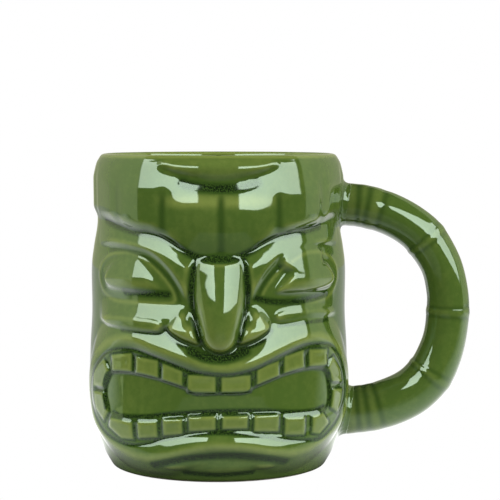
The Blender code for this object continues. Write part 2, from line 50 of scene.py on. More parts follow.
# Cup
HEIGHT = 120.0
UNROLL_RADIUS = 48.0          # u = UNROLL_RADIUS * angle
OUTER_OUTLINE = [             # wall without relief, (radius, height) from the rim down to the base
    (43.4, 120.0), (44.3, 119.8), (45.1, 119.3), (45.9, 118.1), (46.5, 116.5), (46.6, 113.0),
    (46.5, 100.0), (46.5, 93.0), (47.9, 84.5), (48.8, 76.0), (48.7, 60.0), (49.4, 47.0),
    (49.8, 35.0), (49.2, 23.0), (47.2, 14.0), (44.6, 7.0), (42.0, 2.2), (40.9, 0.6), (39.6, 0.0),
]
INNER_OUTLINE = [             # from the middle of the floor up to the rim
    (0.0, 6.5), (14.0, 6.5), (28.0, 6.6), (36.6, 8.6), (41.2, 15.0), (43.6, 29.0), (43.4, 54.0),
    (42.0, 82.0), (41.4, 102.0), (41.8, 114.0), (42.1, 118.4), (42.6, 119.6),
]
FOOT_RADII = (36.0, 20.0, 8.0, 0.0)   # rings of points on the flat base
GLAZE_LINE = 0.45             # the clay below this height is bare
FADE_AT_BASE = (0.6, 4.0)     # relief grows from nothing to full between these heights

# Headband: its lower edge dips to a point between the brows, (u, z)
BAND_EDGE = [
    (-150.8, 96.4), (-105.0, 96.4), (-70.0, 96.4), (-54.0, 95.8), (-44.0, 94.2), (-34.0, 92.2),
    (-26.8, 91.6), (-21.6, 90.9), (-17.2, 89.0), (-14.1, 87.0), (-9.3, 84.2), (-4.6, 83.2),
    (4.6, 83.2), (8.6, 84.2), (12.5, 86.2), (15.6, 88.2), (21.6, 90.6), (28.2, 91.4),
    (34.0, 92.2), (44.0, 93.8), (54.0, 95.8), (70.0, 96.4), (105.0, 96.4), (150.8, 96.4),
]
BAND_PLACES = (-58.0, -40.0, -20.0, 20.0, 40.0, 58.0)   # the band changes between these u
BAND_RISE = (1.4, 2.6, 2.6, 2.8, 2.8, 1.4)              # and has these values at them
BAND_SHOULDER_FOOT = (111.5, 107.6, 107.6, 106.0, 106.0, 111.5)
BAND_SHOULDER_TOP = 117.6     # from here the band slopes out, down to the shoulder's foot
BAND_BEVEL = 3.4              # width of the facet along the band's lower edge
BELLY_RADIUS = 49.9           # of the forehead at its fullest, from the cup's axis
BELLY_HEIGHT = 96.4
BELLY_ROUND = 33.0            # radius of the belly's upright section
BELLY_STEEPEST = 0.27         # slope of its upper part
BELLY_CREST = 103.5           # the glaze is thin round this height, where a band of painted light also lies on the belly's upward-facing slope
# how much lighter that band is: thin glaze, and painted light where the belly faces up
BELLY_THIN_AND_LIT = 1.0
BELLY_CREST_HALF_WIDTH = 4.0
BELLY_WIDTH = (28.0, 12.0)    # the belly blends into the band's side between these u
FLUTE_COUNT = 14              # shallow upright flutes round the band
FLUTE_OFFSET = 0.9
FLUTE_DEPTH = (0.45, 0.62)    # on the side away from the handle and on the handle's side
FLUTE_CHANGE = (-20.0, 20.0)  # the depth changes between these u
FLUTE_HALF_WIDTH = 4.6
FLUTE_TOP = (117.5, 109.0)    # they fade in between these heights
FLUTE_DROP = 6.5              # and so much lower in front
FLUTE_POOL = 0.5              # how dark the front ones are
FLUTE_POOL_SHARE = 0.6        # how wide their pool is, as a share of the flute
FLUTE_FRONT = (50.0, 36.0)    # the front ones lie inside these u
BAND_STEP = 0.6               # half width of the step at the band's lower edge

# Crescent hanging from the rim over the forehead
CRESCENT = [(-24.0, 118.2), (-19.5, 114.4), (-13.9, 112.5), (0.2, 110.4), (13.7, 112.5),
            (20.0, 114.6), (24.5, 118.2), (0.0, 128.0)]
CRESCENT_RADIUS = 48.3        # of its face, from the cup's axis
CRESCENT_SHOULDER = (119.4, 115.4)   # its face comes out from the rim between these heights
CRESCENT_ROUNDING = 2.6
CRESCENT_LIGHT = 0.35         # how thin the glaze is on it

# Features of the left half of the face; the right half mirrors them, apart from what is given
# for each side
BROW = [
    (-60.0, 98.6), (-44.0, 96.6), (-33.0, 94.8), (-26.0, 93.8), (-20.0, 92.8), (-15.4, 90.4),
    (-11.0, 86.8), (-8.4, 83.6), (-9.4, 76.0), (-10.0, 70.0), (-10.8, 65.6),
    (-12.2, 67.6), (-14.6, 72.2), (-18.2, 77.4), (-22.6, 81.4), (-27.4, 84.0), (-34.6, 85.4),
    (-44.0, 85.8), (-60.0, 86.6),
]
BROW_RISE = 1.5
BROW_SLOPE = 5.8              # height of the slope on the band's side
BROW_DROP = 2.3               # width of the steep side over the eye
SIDE_FADE = (64.0, 42.0)      # brows fade into the side between these u
CHEEK_FADE = (57.0, 45.0)     # and whiskers between these
EYELID = [
    (-34.6, 84.4), (-42.4, 84.0), (-49.3, 82.0), (-53.6, 78.4), (-54.6, 74.2), (-52.3, 70.0),
    (-47.0, 67.2), (-40.5, 66.2), (-30.0, 66.3), (-21.0, 66.3), (-16.4, 67.0), (-15.9, 69.2),
    (-17.6, 72.6), (-21.6, 77.2), (-27.2, 81.6),
]
EYELID_RISE = 0.35
EYELID_FOOT = (67.0, 76.0)    # its lower part is flatter
EYELID_INNER = (34.0, 44.0)   # and so is the part nearer the nose
EYELID_HALF_WIDTH = 1.7
EYELID_LIGHT = 0.7            # how thin the glaze is on its crest
EYEBALL = [
    (-33.0, 83.2), (-40.0, 82.6), (-46.0, 80.4), (-49.4, 76.6), (-49.8, 73.0), (-46.8, 70.4),
    (-39.0, 69.3), (-29.0, 69.2), (-20.6, 69.4), (-20.0, 71.2), (-23.4, 75.4), (-28.0, 80.2),
]
EYEBALL_RISE = {'left': (-0.2, 1.8), 'right': (1.3, 2.7)}   # at its top and at its fullest
EYEBALL_TOP = 82.6
EYEBALL_FULL = 75.2
EYEBALL_FOOT = 69.4
EYEBALL_UNDER = 1.0           # how far it curves back from its fullest to its foot
EYEBALL_CORNER = 0.13         # it sinks towards the nose: this much for each mm inside this u
EYEBALL_MIDDLE = {'left': 32.0, 'right': 26.0}
EYEBALL_ROUNDING = 2.4
EYEBALL_LIGHT = 0.55          # the glaze is thin in a strip so far below its fullest
EYEBALL_LIGHT_DROP = 2.0
EYEBALL_LIGHT_HALF_WIDTH = 2.8
BROW_JOIN = [                 # where the right brow runs into the eyeball
    (22.0, 82.4), (24.5, 86.2), (29.0, 87.2), (37.0, 87.6), (43.6, 85.6), (42.6, 79.0),
    (36.0, 75.4), (28.6, 76.0), (23.4, 78.8),
]
BROW_JOIN_TOP = 87.5
BROW_JOIN_ROUNDING = 2.4
WHISKER = {
    'left': [(-54.0, 59.4), (-46.0, 61.0), (-37.0, 61.4), (-28.0, 61.0), (-21.6, 60.4), (-19.6, 58.4),
             (-21.4, 56.2), (-28.0, 56.2), (-36.0, 56.6), (-46.0, 57.4)],
    'right': [(54.0, 61.2), (46.0, 63.2), (38.0, 64.0), (29.0, 64.0), (22.6, 63.4), (20.6, 61.6),
              (22.2, 59.6), (29.0, 59.6), (37.0, 60.0), (46.0, 59.8)],
}
WHISKER_RISE = 0.9
WHISKER_ROUNDING = 1.2
CHEEK_RISE = {'left': 2.0, 'right': 0.2}   # a slope from under the eye up to the whisker ridge
CHEEK_TOP = 66.4
CHEEK_HEIGHT = 5.4
CHEEK_FOOT = (-1.2, 0.4)      # it falls away between these, over the whisker's lower line
CHEEK_INNER_END = (9.0, 13.0)
NOSTRIL = [
    (-12.6, 66.6), (-16.4, 64.6), (-18.6, 61.0), (-18.0, 57.4), (-15.0, 54.8), (-11.6, 53.0),
    (-7.0, 51.8), (-6.6, 54.0), (-7.8, 58.0), (-9.0, 63.6),
]
NOSTRIL_RISE = (0.8, 4.4)     # at its top and at its bottom
NOSTRIL_SLOPE = (66.8, 57.0)
NOSTRIL_ROUNDING = (2.6, 4.2)   # a crisp edge below and a soft one above
NOSTRIL_SOFT = (57.0, 62.0)

# Nose: half width and rise at each height, (z, half width, rise)
NOSE = [
    (48.6, 0.0, 0.0), (49.4, 2.4, 3.2), (50.8, 4.6, 5.3), (53.2, 6.2, 6.6), (56.5, 7.2, 7.3),
    (60.0, 7.9, 7.3), (64.0, 8.5, 6.8), (68.0, 8.9, 5.9), (72.0, 9.0, 4.8), (76.0, 8.8, 3.7),
    (79.4, 8.4, 3.0), (81.6, 7.6, 2.5), (83.6, 5.6, 0.6),
]
NOSE_MIDDLE = 0.4             # it stands a little off the middle of the face
NOSE_ROUND = (0.62, 0.35)     # how round it is across, below and above: 1 is a half ellipse
NOSE_ROUND_AT = (66.0, 76.0)
NOSE_REACH = 11.0             # no part of it is further from the middle than this

# Lips: one closed ridge round the mouth, by its crest, clockwise from the middle of the top lip
LIP_CREST = [
    (0.0, 43.6), (5.0, 43.9), (11.0, 45.4), (17.0, 47.8), (23.4, 50.6), (29.0, 52.5), (35.0, 53.5),
    (41.0, 52.8), (47.0, 50.3), (52.0, 46.2), (55.6, 41.2), (57.3, 35.5), (57.2, 29.5), (55.0, 24.0),
    (50.4, 19.6), (44.3, 16.4), (38.0, 13.4), (31.0, 11.4), (25.2, 11.5), (18.0, 12.8), (9.0, 14.7),
    (0.0, 15.3), (-6.0, 14.6), (-12.0, 13.0), (-19.7, 10.7), (-26.6, 9.3), (-33.0, 9.8), (-39.1, 11.5),
    (-45.0, 14.2), (-50.0, 18.0), (-54.0, 23.4), (-56.2, 29.5), (-56.2, 36.6), (-54.4, 41.8),
    (-51.0, 46.0), (-46.0, 49.7), (-40.7, 52.0), (-34.9, 53.0), (-29.5, 52.5), (-24.0, 50.8),
    (-18.0, 49.1), (-12.0, 47.2), (-6.0, 45.0),
]
LIP_RISE = 2.7
LOWER_LIP_RISE = 3.6
LOWER_LIP_TOP = (28.0, 17.0)  # the lower lip's extra rise grows between these heights
LIP_SLOPE_OUT = (7.2, 9.2)    # width of the slope to the cheek, in the middle and beside it
LIP_SLOPE_OUT_SIDE = (12.0, 20.0)   # it widens between these u
LIP_SLOPE_IN = (3.4, 6.6)     # width of the slope to the teeth, upper lip and middle of the lower
LIP_SLOPE_SIDE = (60.0, 46.0)   # the lower lip's slope narrows to the upper's between these u
LIP_CROWN = 1.6               # half width of the rounded crest
LIP_LIGHT = 0.8               # how thin the glaze is on the crest
LIP_LIGHT_HALF_WIDTH = 2.8
MOUTH_FLOOR = [
    (0.0, 34.2), (-8.1, 33.9), (-12.3, 36.0), (-22.7, 39.0), (-32.8, 40.3), (-41.2, 40.0),
    (-44.4, 37.8), (-45.4, 31.7), (-44.6, 26.4), (-41.4, 22.9), (-37.0, 21.8), (-27.1, 22.3),
    (-16.6, 23.9), (0.0, 25.4), (16.6, 25.1), (27.0, 23.9), (36.0, 23.7), (41.0, 25.0),
    (43.6, 28.8), (43.9, 34.6), (42.6, 40.0), (39.0, 41.4), (33.2, 41.6), (23.0, 39.9),
    (12.6, 36.2), (9.0, 34.2),
]
MOUTH_ROOF = MOUTH_FLOOR[17:] + MOUTH_FLOOR[:9]   # the floor's edge without its lower side
MOUTH_RADIUS = 49.0           # of the floor of the mouth at its top, from the cup's axis
MOUTH_TOP = 38.0
MOUTH_LEAN = 0.04             # it comes out this much for each mm down
MOUTH_TILT = 0.11             # its middle leans back in this much for each mm further down
MOUTH_TILT_FROM = 33.0        # from this height
MOUTH_TILT_WIDTH = (27.0, 12.0)   # and more and more between these u
MOUTH_WALL = 0.6              # half width of the steep wall round the floor

TEETH = [
    [(-10.9, 41.2), (-0.9, 41.2), (-0.9, 34.6), (-10.9, 34.8)],
    [(-20.2, 45.2), (-12.5, 42.4), (-12.5, 36.8), (-20.2, 38.7)],
    [(-30.9, 46.9), (-21.6, 45.9), (-21.6, 39.3), (-30.9, 40.6)],
    [(-41.8, 46.6), (-32.4, 48.0), (-32.4, 41.0), (-41.2, 40.4)],
    [(-52.2, 39.6), (-45.4, 45.0), (-42.6, 40.6), (-45.8, 34.0), (-52.6, 33.4)],
    [(-52.8, 31.8), (-46.0, 32.2), (-43.2, 25.0), (-46.4, 21.0), (-51.2, 24.8)],
    [(-42.4, 23.2), (-32.2, 22.6), (-32.2, 15.8), (-38.0, 15.6), (-44.2, 19.4)],
    [(-30.4, 22.9), (-22.4, 23.5), (-22.4, 17.3), (-30.4, 16.4)],
    [(-20.4, 24.2), (-12.8, 25.0), (-12.8, 18.8), (-20.4, 18.1)],
    [(-10.7, 25.7), (-1.0, 26.3), (-1.0, 20.9), (-10.7, 20.2)],
    [(0.8, 41.0), (11.2, 41.0), (11.2, 34.9), (0.8, 34.7)],
    [(13.2, 43.4), (21.7, 45.8), (21.7, 40.0), (13.2, 37.2)],
    [(23.6, 47.2), (32.0, 49.2), (32.0, 42.5), (23.6, 40.8)],
    [(33.9, 49.1), (42.3, 48.6), (42.3, 42.3), (33.9, 42.6)],
    [(45.4, 45.6), (41.7, 41.6), (44.9, 36.0), (51.6, 34.8), (50.0, 40.2)],
    [(45.2, 33.4), (52.0, 32.6), (50.9, 27.6), (48.6, 23.8), (44.3, 26.2), (44.8, 30.0)],
    [(35.3, 24.4), (40.6, 25.0), (43.9, 20.7), (39.2, 17.0), (35.3, 17.8)],
    [(24.1, 24.8), (32.4, 24.4), (32.4, 17.4), (24.1, 18.0)],
    [(12.4, 26.2), (22.0, 25.9), (22.0, 19.4), (12.4, 20.0)],
    [(1.1, 26.2), (10.3, 26.2), (10.3, 21.2), (1.1, 21.2)],
]
GUM_LEVEL = (0.1, 2.3)        # the ground between the teeth, in the middle and at the corners
GUM_CORNER = (24.0, 48.0)     # it rises between these u
GUM_LOW_SHIFT = 8.0           # and sooner by this much along the lower lip
GUM_UPPER = (3.4, 0.6)        # under the upper lip it rises to the teeth between these distances
TOOTH_RISE = 0.8              # over that ground
TOOTH_ROUNDING = 1.9
TOOTH_HOLLOW = 0.14           # how far the middle of a tooth is sunk
TOOTH_HOLLOW_BETWEEN = (0.8, 3.2)   # it sinks between these distances from its outline
TOOTH_FOOT = 0.25             # how far a tooth reaches past its outline
TOOTH_POOL = 0.9              # darkness of the pooled line round a tooth
TOOTH_POOL_OUT = 0.4          # how far out it runs
TOOTH_POOL_HALF_WIDTH = 0.9
TOOTH_LIGHT = 0.5             # how thin the glaze is on a tooth
TOOTH_LIGHT_EDGE = 0.6
TOOTH_RIM_LIGHT = 0.3         # and how much thinner in a line just inside its outline
TOOTH_RIM = 0.9
TOOTH_RIM_HALF_WIDTH = 1.0

# Chin: a shallow lens under the lower lip
CHIN = [
    (-22.0, 6.0), (-12.0, 8.2), (0.0, 9.2), (12.0, 8.2), (23.0, 6.4), (12.0, 4.5), (0.0, 3.8),
    (-12.0, 4.5),
]
CHIN_RISE = 1.1
CHIN_ROUNDING = 2.4
CHIN_LIGHT = 0.1

# Creases where glaze pools: path, depth, half width, half width of the pool, its darkness
CREASES = [
    ([(-13.7, 110.0), (-8.8, 108.9), (0.2, 108.2), (9.4, 108.6), (14.5, 110.0)], 0.3, 2.4, 3.4, 1.0),
    ([(-54.0, 95.6), (-44.0, 93.9), (-34.0, 92.0), (-26.8, 91.4), (-21.6, 90.6), (-17.2, 88.8),
      (-14.1, 86.8), (-9.3, 84.0), (-4.6, 82.8), (4.6, 82.8), (8.6, 84.0), (12.5, 86.0), (15.6, 88.0),
      (21.6, 90.4), (28.2, 91.4), (44.0, 93.6)], 0.2, 1.2, 2.6, 1.0),
    ([(-8.4, 82.6), (-9.3, 76.0), (-9.7, 70.0), (-9.3, 66.0)], 0.25, 1.0, 1.9, 1.0),
    ([(9.2, 82.6), (10.0, 76.0), (10.4, 70.0), (10.0, 66.0)], 0.25, 1.0, 1.9, 1.0),
    ([(-9.3, 66.0), (-8.5, 62.0), (-7.6, 58.0), (-6.6, 53.6)], 0.1, 0.7, 1.2, 1.0),
    ([(10.0, 66.0), (9.2, 62.0), (8.2, 58.0), (7.0, 53.6)], 0.1, 0.7, 1.2, 1.0),
    ([(-18.9, 56.6), (-15.8, 53.4), (-10.8, 51.0), (-7.5, 49.2)], 0.0, 0.8, 1.5, 0.9),
    ([(18.9, 56.6), (15.8, 53.4), (10.8, 51.0), (7.5, 49.2)], 0.0, 0.8, 1.5, 0.9),
    ([(-9.5, 49.6), (-4.4, 47.4), (0.0, 46.9), (4.4, 47.4), (9.5, 49.6)], 0.1, 1.4, 2.8, 1.0),
    ([(-37.0, 70.0), (-29.0, 69.8), (-18.5, 69.8)], 0.2, 1.2, 2.5, 1.0),
    ([(46.0, 68.6), (38.0, 67.4), (29.0, 66.6), (20.0, 67.0), (13.6, 68.4)], 0.2, 1.2, 2.4, 1.0),
    ([(-48.0, 84.6), (-40.0, 85.2), (-35.2, 84.8), (-28.6, 83.2), (-23.2, 80.2), (-18.2, 75.8),
      (-15.2, 71.4), (-14.0, 67.6)], 0.2, 1.2, 1.7, 0.5),
    ([(22.8, 79.9), (18.2, 75.8), (15.2, 71.4), (14.0, 67.6)], 0.2, 1.2, 1.7, 0.5),
    ([(-41.0, 25.0), (-37.0, 24.2), (-27.1, 24.8), (-16.6, 26.4), (0.0, 27.8), (16.6, 27.4),
      (27.0, 26.3), (36.0, 26.0), (41.0, 27.0)], 0.1, 1.0, 1.7, 1.0),
    ([(-37.0, 55.9), (-30.0, 55.6), (-20.4, 55.6)], 0.15, 0.8, 1.3, 0.8),
    ([(46.0, 58.8), (34.0, 58.8), (22.0, 58.2)], 0.15, 0.8, 1.3, 0.9),
    ([(-25.4, 6.6), (-16.6, 8.9), (-10.8, 10.3), (0.1, 11.4), (8.2, 11.2), (18.3, 9.6), (26.0, 7.8)],
     0.35, 1.8, 2.5, 1.0),
    ([(-14.0, 3.9), (0.0, 3.2), (14.0, 4.0)], 0.1, 1.3, 1.7, 0.9),
]
LIP_CREASE_FORM = (0.3, 0.8, 1.5, 0.95)    # the same four numbers for the two lines below
ROOF_CREASE_FORM = (0.0, 0.8, 1.3, 0.95)
LIP_CREASE = [                # pooled line inside the lips, where the teeth's ground meets them
    (0.0, 41.3), (-9.0, 42.2), (-14.7, 44.2), (-21.0, 46.5), (-27.4, 48.4), (-34.0, 49.3),
    (-41.1, 48.2), (-46.2, 45.6), (-51.4, 40.6), (-54.2, 35.2), (-55.0, 30.0), (-53.6, 25.2),
    (-50.0, 20.6), (-45.2, 16.5), (-38.0, 14.2), (-32.7, 13.8), (-25.7, 14.8), (-20.4, 16.8),
    (-9.1, 19.2), (0.0, 20.0), (9.5, 19.2), (18.0, 17.8), (25.0, 16.2), (33.0, 15.4), (39.6, 15.4),
    (45.0, 18.4), (49.6, 22.2), (52.6, 27.2), (53.6, 33.0), (52.2, 39.6), (49.0, 45.0), (43.8, 49.8),
    (34.6, 50.8), (28.6, 49.8), (20.4, 46.8), (12.0, 42.9), (5.0, 41.3),
]

MAP_STEP = 0.3                # grid on which the relief is worked out
GLAZE_SOFTENING = (0.55, 0.28)   # the glaze rounds everything off, less inside the lips
MOUTH_SOFTENING = (1.5, 3.5)  # it changes between these distances inside the lips' crest
POOL_REACH = 2.0              # glaze pools where the surface lies under its mean over this reach
POOL_DEPTH = (0.25, 1.2)      # how far under it for the first and the deepest colour
POOL_SHARE = 0.6              # the most that such a hollow adds to a pool
BREAK_REACH = 1.3             # glaze thins where the surface stands over its mean over this reach
BREAK_HEIGHT = (0.09, 0.45)

# Mesh of the cup
COLUMNS = 346
CROWDING = 0.72               # how far the columns behind are drawn towards the face, 0 to 1
FRONT_HALF_WIDTH = 57.0       # columns are close together out to this u
FRONT_PITCH = 0.45
FACE_TOP = 92.0               # and rows below this height
FACE_PITCH = 0.45
BAND_PITCH = 0.8
RIM_PITCH = 0.3
RIM_PITCH_INSIDE = 1.5 * RIM_PITCH
RIM_HEIGHT = 117.5
INSIDE_PITCH = 7.0
OUTWARD = (0.35, 0.85)        # shares of the wall's thickness between which relief takes effect
RIM_THIN = (118.2, 119.4)     # the glaze thins over the rim between these heights
FACES_DOWN = -0.5             # upward part of a face's normal, under which the face is clay
WELD = 0.005                  # points closer than this become one

# Handle: its centre line in the XZ plane from the upper root to the lower root, (x, z, radius)
HANDLE_PATH = [
    (43.0, 100.5, 8.1), (50.0, 100.3, 8.2), (57.0, 99.4, 8.3), (66.0, 96.6, 8.1), (74.2, 92.1, 8.1),
    (80.2, 86.6, 8.2), (86.0, 77.0, 7.9), (88.5, 67.0, 8.0), (88.8, 58.8, 8.2), (87.7, 49.0, 8.3),
    (85.3, 41.1, 8.7), (81.9, 34.5, 9.0), (76.3, 28.6, 9.2), (69.4, 24.6, 9.3), (60.0, 21.5, 9.3),
    (50.0, 20.3, 9.3), (43.0, 20.1, 9.4),
]
PATH_PIECES = 40              # pieces of curve between two points of the path
HANDLE_STATIONS = 420
HANDLE_SIDES = 72
HANDLE_BURIED = 2.5           # how far the ends reach into the wall
NODE_POINTS = (5, 8, 11)      # the points of HANDLE_PATH that are bamboo nodes
NODE_RISE = 0.28
NODE_LENGTH = 2.6
NODE_GROOVES = (-2.0, 1.7)    # pooled rings on either side of each node
NODE_GROOVE_DEPTH = 0.09
NODE_GROOVE_LENGTH = 1.1
NODE_POOL = 0.4               # how dark its grooves are
NODE_LIGHT = 0.2              # and how thin the glaze is on its ridge
ROOT_GROOVES = ((53.2, 56.8, 62.2), (53.4, 57.2, 61.9))   # x of the rings at the two roots
ROOT_GROOVE_DEPTH = 0.10
ROOT_GROOVE_LENGTH = 1.5
ROOT_POOL = 0.45
ROOT_LIGHT = 0.35             # how thin the glaze is between the rings
ROOT_LIGHT_END = (66.0, 60.0)   # it fades out between these x

# Fillets where the handle meets the cup
FILLET_ALONG = 2.6            # how far the fillet runs along the handle
FILLET_ACROSS = 2.8           # how far it spreads over the wall
FILLET_SIDES = 120
FILLET_STEPS = 14
FILLET_BACKING = 1.2          # how deep its hidden side lies
FILLET_POOL = 0.5             # darkness of the pooled line along it
FILLET_POOL_AT = 0.62         # where the line is, from 0 at the handle to 1 at the wall
FILLET_POOL_WIDTH = 0.2

# Camera
CAMERA_PLACE = (0.0, -0.700, 0.132)
CAMERA_PITCH = 4.027          # degrees below the horizontal
CAMERA_YAW = 0.993            # degrees to the right
LENS = 130.9
SENSOR_WIDTH = 36.0


# --- Curves and distances on the unrolled wall ---------------------------------------------------

def smooth_curve(points, pieces, closed=False):
    """A Catmull-Rom curve through the points, with so many pieces between each pair."""
    points = np.asarray(points, dtype=float)
    if closed:
        padded = np.vstack([points[-1], points, points[0], points[1]])
    else:
        padded = np.vstack([2 * points[0] - points[1], points, 2 * points[-1] - points[-2]])
    steps = np.arange(pieces)[:, None] / pieces
    runs = []
    for a, b, c, d in zip(padded[:-3], padded[1:-2], padded[2:-1], padded[3:]):
        runs.append(0.5 * (2 * b + (c - a) * steps + (2 * a - 5 * b + 4 * c - d) * steps ** 2
                           + (3 * b - a - 3 * c + d) * steps ** 3))
    curve = np.vstack(runs)
    return curve if closed else np.vstack([curve, points[-1]])


def distance_to_path(u, z, path):
    """Distance from each (u, z) to the nearest point of a path."""
    best = np.full(u.shape, np.inf)
    for (au, az), (bu, bz) in zip(path[:-1], path[1:]):
        du, dz = bu - au, bz - az
        t = np.clip(((u - au) * du + (z - az) * dz) / (du * du + dz * dz), 0.0, 1.0)
        best = np.minimum(best, np.hypot(u - au - t * du, z - az - t * dz))
    return best


def depth_inside(u, z, points, pieces=4):
    """Distance in from the outline of a shape, negative outside it."""
    curve = smooth_curve(points, pieces, closed=True)
    path = np.vstack([curve, curve[:1]])
    inside = np.zeros(u.shape, dtype=bool)
    for (au, az), (bu, bz) in zip(path[:-1], path[1:]):
        if az != bz:
            inside ^= ((az > z) != (bz > z)) & (u < au + (z - az) * (bu - au) / (bz - az))
    distance = distance_to_path(u, z, path)
    return np.where(inside, distance, -distance)


def mirrored(points):
    return [(-u, z) for u, z in points]


def ramp(value, start, end):
    """0 at start, 1 at end, with a smooth change between."""
    t = np.clip((value - start) / (end - start), 0.0, 1.0)
    return t * t * (3.0 - 2.0 * t)


def slope(value, start, end):
    """0 at start, 1 at end, along a straight line."""
    return np.clip((value - start) / (end - start), 0.0, 1.0)


def rounded_edge(depth, width):
    """0 at the edge of a form and 1 from width inwards, rising as a quarter circle."""
    t = np.clip(depth / width, 0.0, 1.0)
    return np.sqrt(1.0 - (1.0 - t) ** 2)


def eased(value, places, levels):
    """Passes through the levels at the places, with a smooth change between each pair."""
    total = levels[0]
    for start, end, low, high in zip(places, places[1:], levels, levels[1:]):
        total = total + (high - low) * ramp(value, start, end)
    return total


def soft_ridge(distance, half_width):
    """1 on a line, falling smoothly to 0 at half_width from it."""
    return 0.5 + 0.5 * np.cos(math.pi * np.clip(np.abs(distance) / half_width, 0.0, 1.0))


def blur(grid, sigma):
    """Gaussian blur of a grid along both axes, its edge values carried outwards."""
    reach = int(math.ceil(3 * sigma))
    weights = np.exp(-0.5 * (np.arange(-reach, reach + 1) / sigma) ** 2)
    weights /= weights.sum()
    for axis in (0, 1):
        padded = np.pad(grid, [(reach, reach) if a == axis else (0, 0) for a in (0, 1)], mode='edge')
        length = grid.shape[axis]
        grid = sum(w * np.take(padded, range(k, k + length), axis) for k, w in enumerate(weights))
    return grid


def outline_radius(outline, z):
    """Radius of a wall's outline at a height."""
    curve = smooth_curve(outline, 8)
    order = np.argsort(curve[:, 1])
    return np.interp(z, curve[order, 1], curve[order, 0])


# --- The relief, form by form --------------------------------------------------------------------

class Relief:
    """Height over the turned wall, where glaze pools and thins, and a band of painted light on the belly,
    on a grid of the unrolled wall.
    """

    def __init__(self):
        half_turn = math.pi * UNROLL_RADIUS
        self.us = np.linspace(-half_turn, half_turn, int(2 * half_turn / MAP_STEP))
        self.zs = np.linspace(0.0, HEIGHT, int(HEIGHT / MAP_STEP))
        self.u, self.z = np.meshgrid(self.us, self.zs)
        self.height = np.zeros(self.u.shape)
        self.pool = np.zeros(self.u.shape)
        self.edge = np.zeros(self.u.shape)
        self.wall = outline_radius(OUTER_OUTLINE, self.z)

    def near(self, points, margin):
        """The part of the grid round some points, as an index, with its u and z."""
        low = np.min(points, axis=0) - margin
        high = np.max(points, axis=0) + margin
        columns = slice(*np.searchsorted(self.us, (low[0], high[0])))
        rows = slice(*np.searchsorted(self.zs, (low[1], high[1])))
        return (rows, columns), self.u[rows, columns], self.z[rows, columns]

    def raise_to(self, part, form):
        self.height[part] = np.maximum(self.height[part], form)

    def darken(self, part, amount):
        self.pool[part] = np.maximum(self.pool[part], amount)

    def lighten(self, part, amount):
        self.edge[part] = np.maximum(self.edge[part], amount)

    def read(self, grid, u, z):
        """Bilinear reading of one of the grids."""
        column = np.clip(np.interp(u, self.us, np.arange(len(self.us))), 0, len(self.us) - 1.001)
        row = np.clip(np.interp(z, self.zs, np.arange(len(self.zs))), 0, len(self.zs) - 1.001)
        i, j = row.astype(int), column.astype(int)
        fi, fj = row - i, column - j
        low = grid[i, j] * (1 - fj) + grid[i, j + 1] * fj
        high = grid[i + 1, j] * (1 - fj) + grid[i + 1, j + 1] * fj
        return low * (1 - fi) + high * fi


def add_brow(relief, outline):
    """A roof: a wide slope up from the headband, a crest, and a steep side over the eye."""
    part, u, z = relief.near(outline, 3.0)
    depth = depth_inside(u, z, outline)
    edge = smooth_curve(BAND_EDGE, 4)
    under_band = np.interp(u, edge[:, 0], edge[:, 1]) - z
    upper = slope(under_band, 0.0, BROW_SLOPE)
    steep = ramp(depth, 0.0, BROW_DROP)
    relief.raise_to(part, BROW_RISE * np.minimum(upper, steep) * ramp(np.abs(u), *SIDE_FADE))


def add_eye(relief, lid, ball, rises, middle):
    """A soft ring for the eyelid and, inside it, the eyeball, fullest below its middle."""
    part, u, z = relief.near(lid, 3.0)
    ring = soft_ridge(distance_to_path(u, z, closed(lid)), EYELID_HALF_WIDTH)
    relief.raise_to(part, EYELID_RISE * ring * ramp(z, *EYELID_FOOT) * ramp(np.abs(u), *EYELID_INNER))
    relief.lighten(part, EYELID_LIGHT * ring ** 2)
    top, full = rises
    rise = top + (full - top) * slope(z, EYEBALL_TOP, EYEBALL_FULL)
    rise = rise - EYEBALL_UNDER * slope(z, EYEBALL_FULL, EYEBALL_FOOT) ** 2
    rise = rise - EYEBALL_CORNER * np.maximum(middle - np.abs(u), 0.0)
    share = ramp(depth_inside(u, z, ball), 0.0, EYEBALL_ROUNDING)
    relief.height[part] += (rise - relief.height[part]) * share
    strip = soft_ridge(z - EYEBALL_FULL + EYEBALL_LIGHT_DROP, EYEBALL_LIGHT_HALF_WIDTH)
    relief.lighten(part, EYEBALL_LIGHT * share * strip)


def join_brow(relief):
    """The right brow's end runs straight into the eyeball."""
    part, u, z = relief.near(BROW_JOIN, 1.0)
    full = EYEBALL_RISE['right'][1]
    rise = BROW_RISE + (full - BROW_RISE) * slope(z, BROW_JOIN_TOP, EYEBALL_FULL)
    share = ramp(depth_inside(u, z, BROW_JOIN), 0.0, BROW_JOIN_ROUNDING)
    relief.height[part] += (rise - relief.height[part]) * share


def closed(points, pieces=4):
    curve = smooth_curve(points, pieces, closed=True)
    return np.vstack([curve, curve[:1]])


def add_cheek(relief, whisker, full_rise):
    """A slope rising from under the eye to the whisker ridge, and the ridge itself."""
    part, u, z = relief.near(whisker, 8.0)
    side = ramp(np.abs(u), *CHEEK_FADE) * ramp(np.abs(u), *CHEEK_INNER_END)
    ridge_line = np.array(sorted(whisker[5:] + whisker[:1]))
    foot = np.interp(u, ridge_line[:, 0], ridge_line[:, 1])
    rise = full_rise * slope(CHEEK_TOP - z, 0.0, CHEEK_HEIGHT) * ramp(z - foot, *CHEEK_FOOT)
    ridge = WHISKER_RISE * rounded_edge(depth_inside(u, z, whisker), WHISKER_ROUNDING)
    relief.raise_to(part, (rise + ridge) * side)


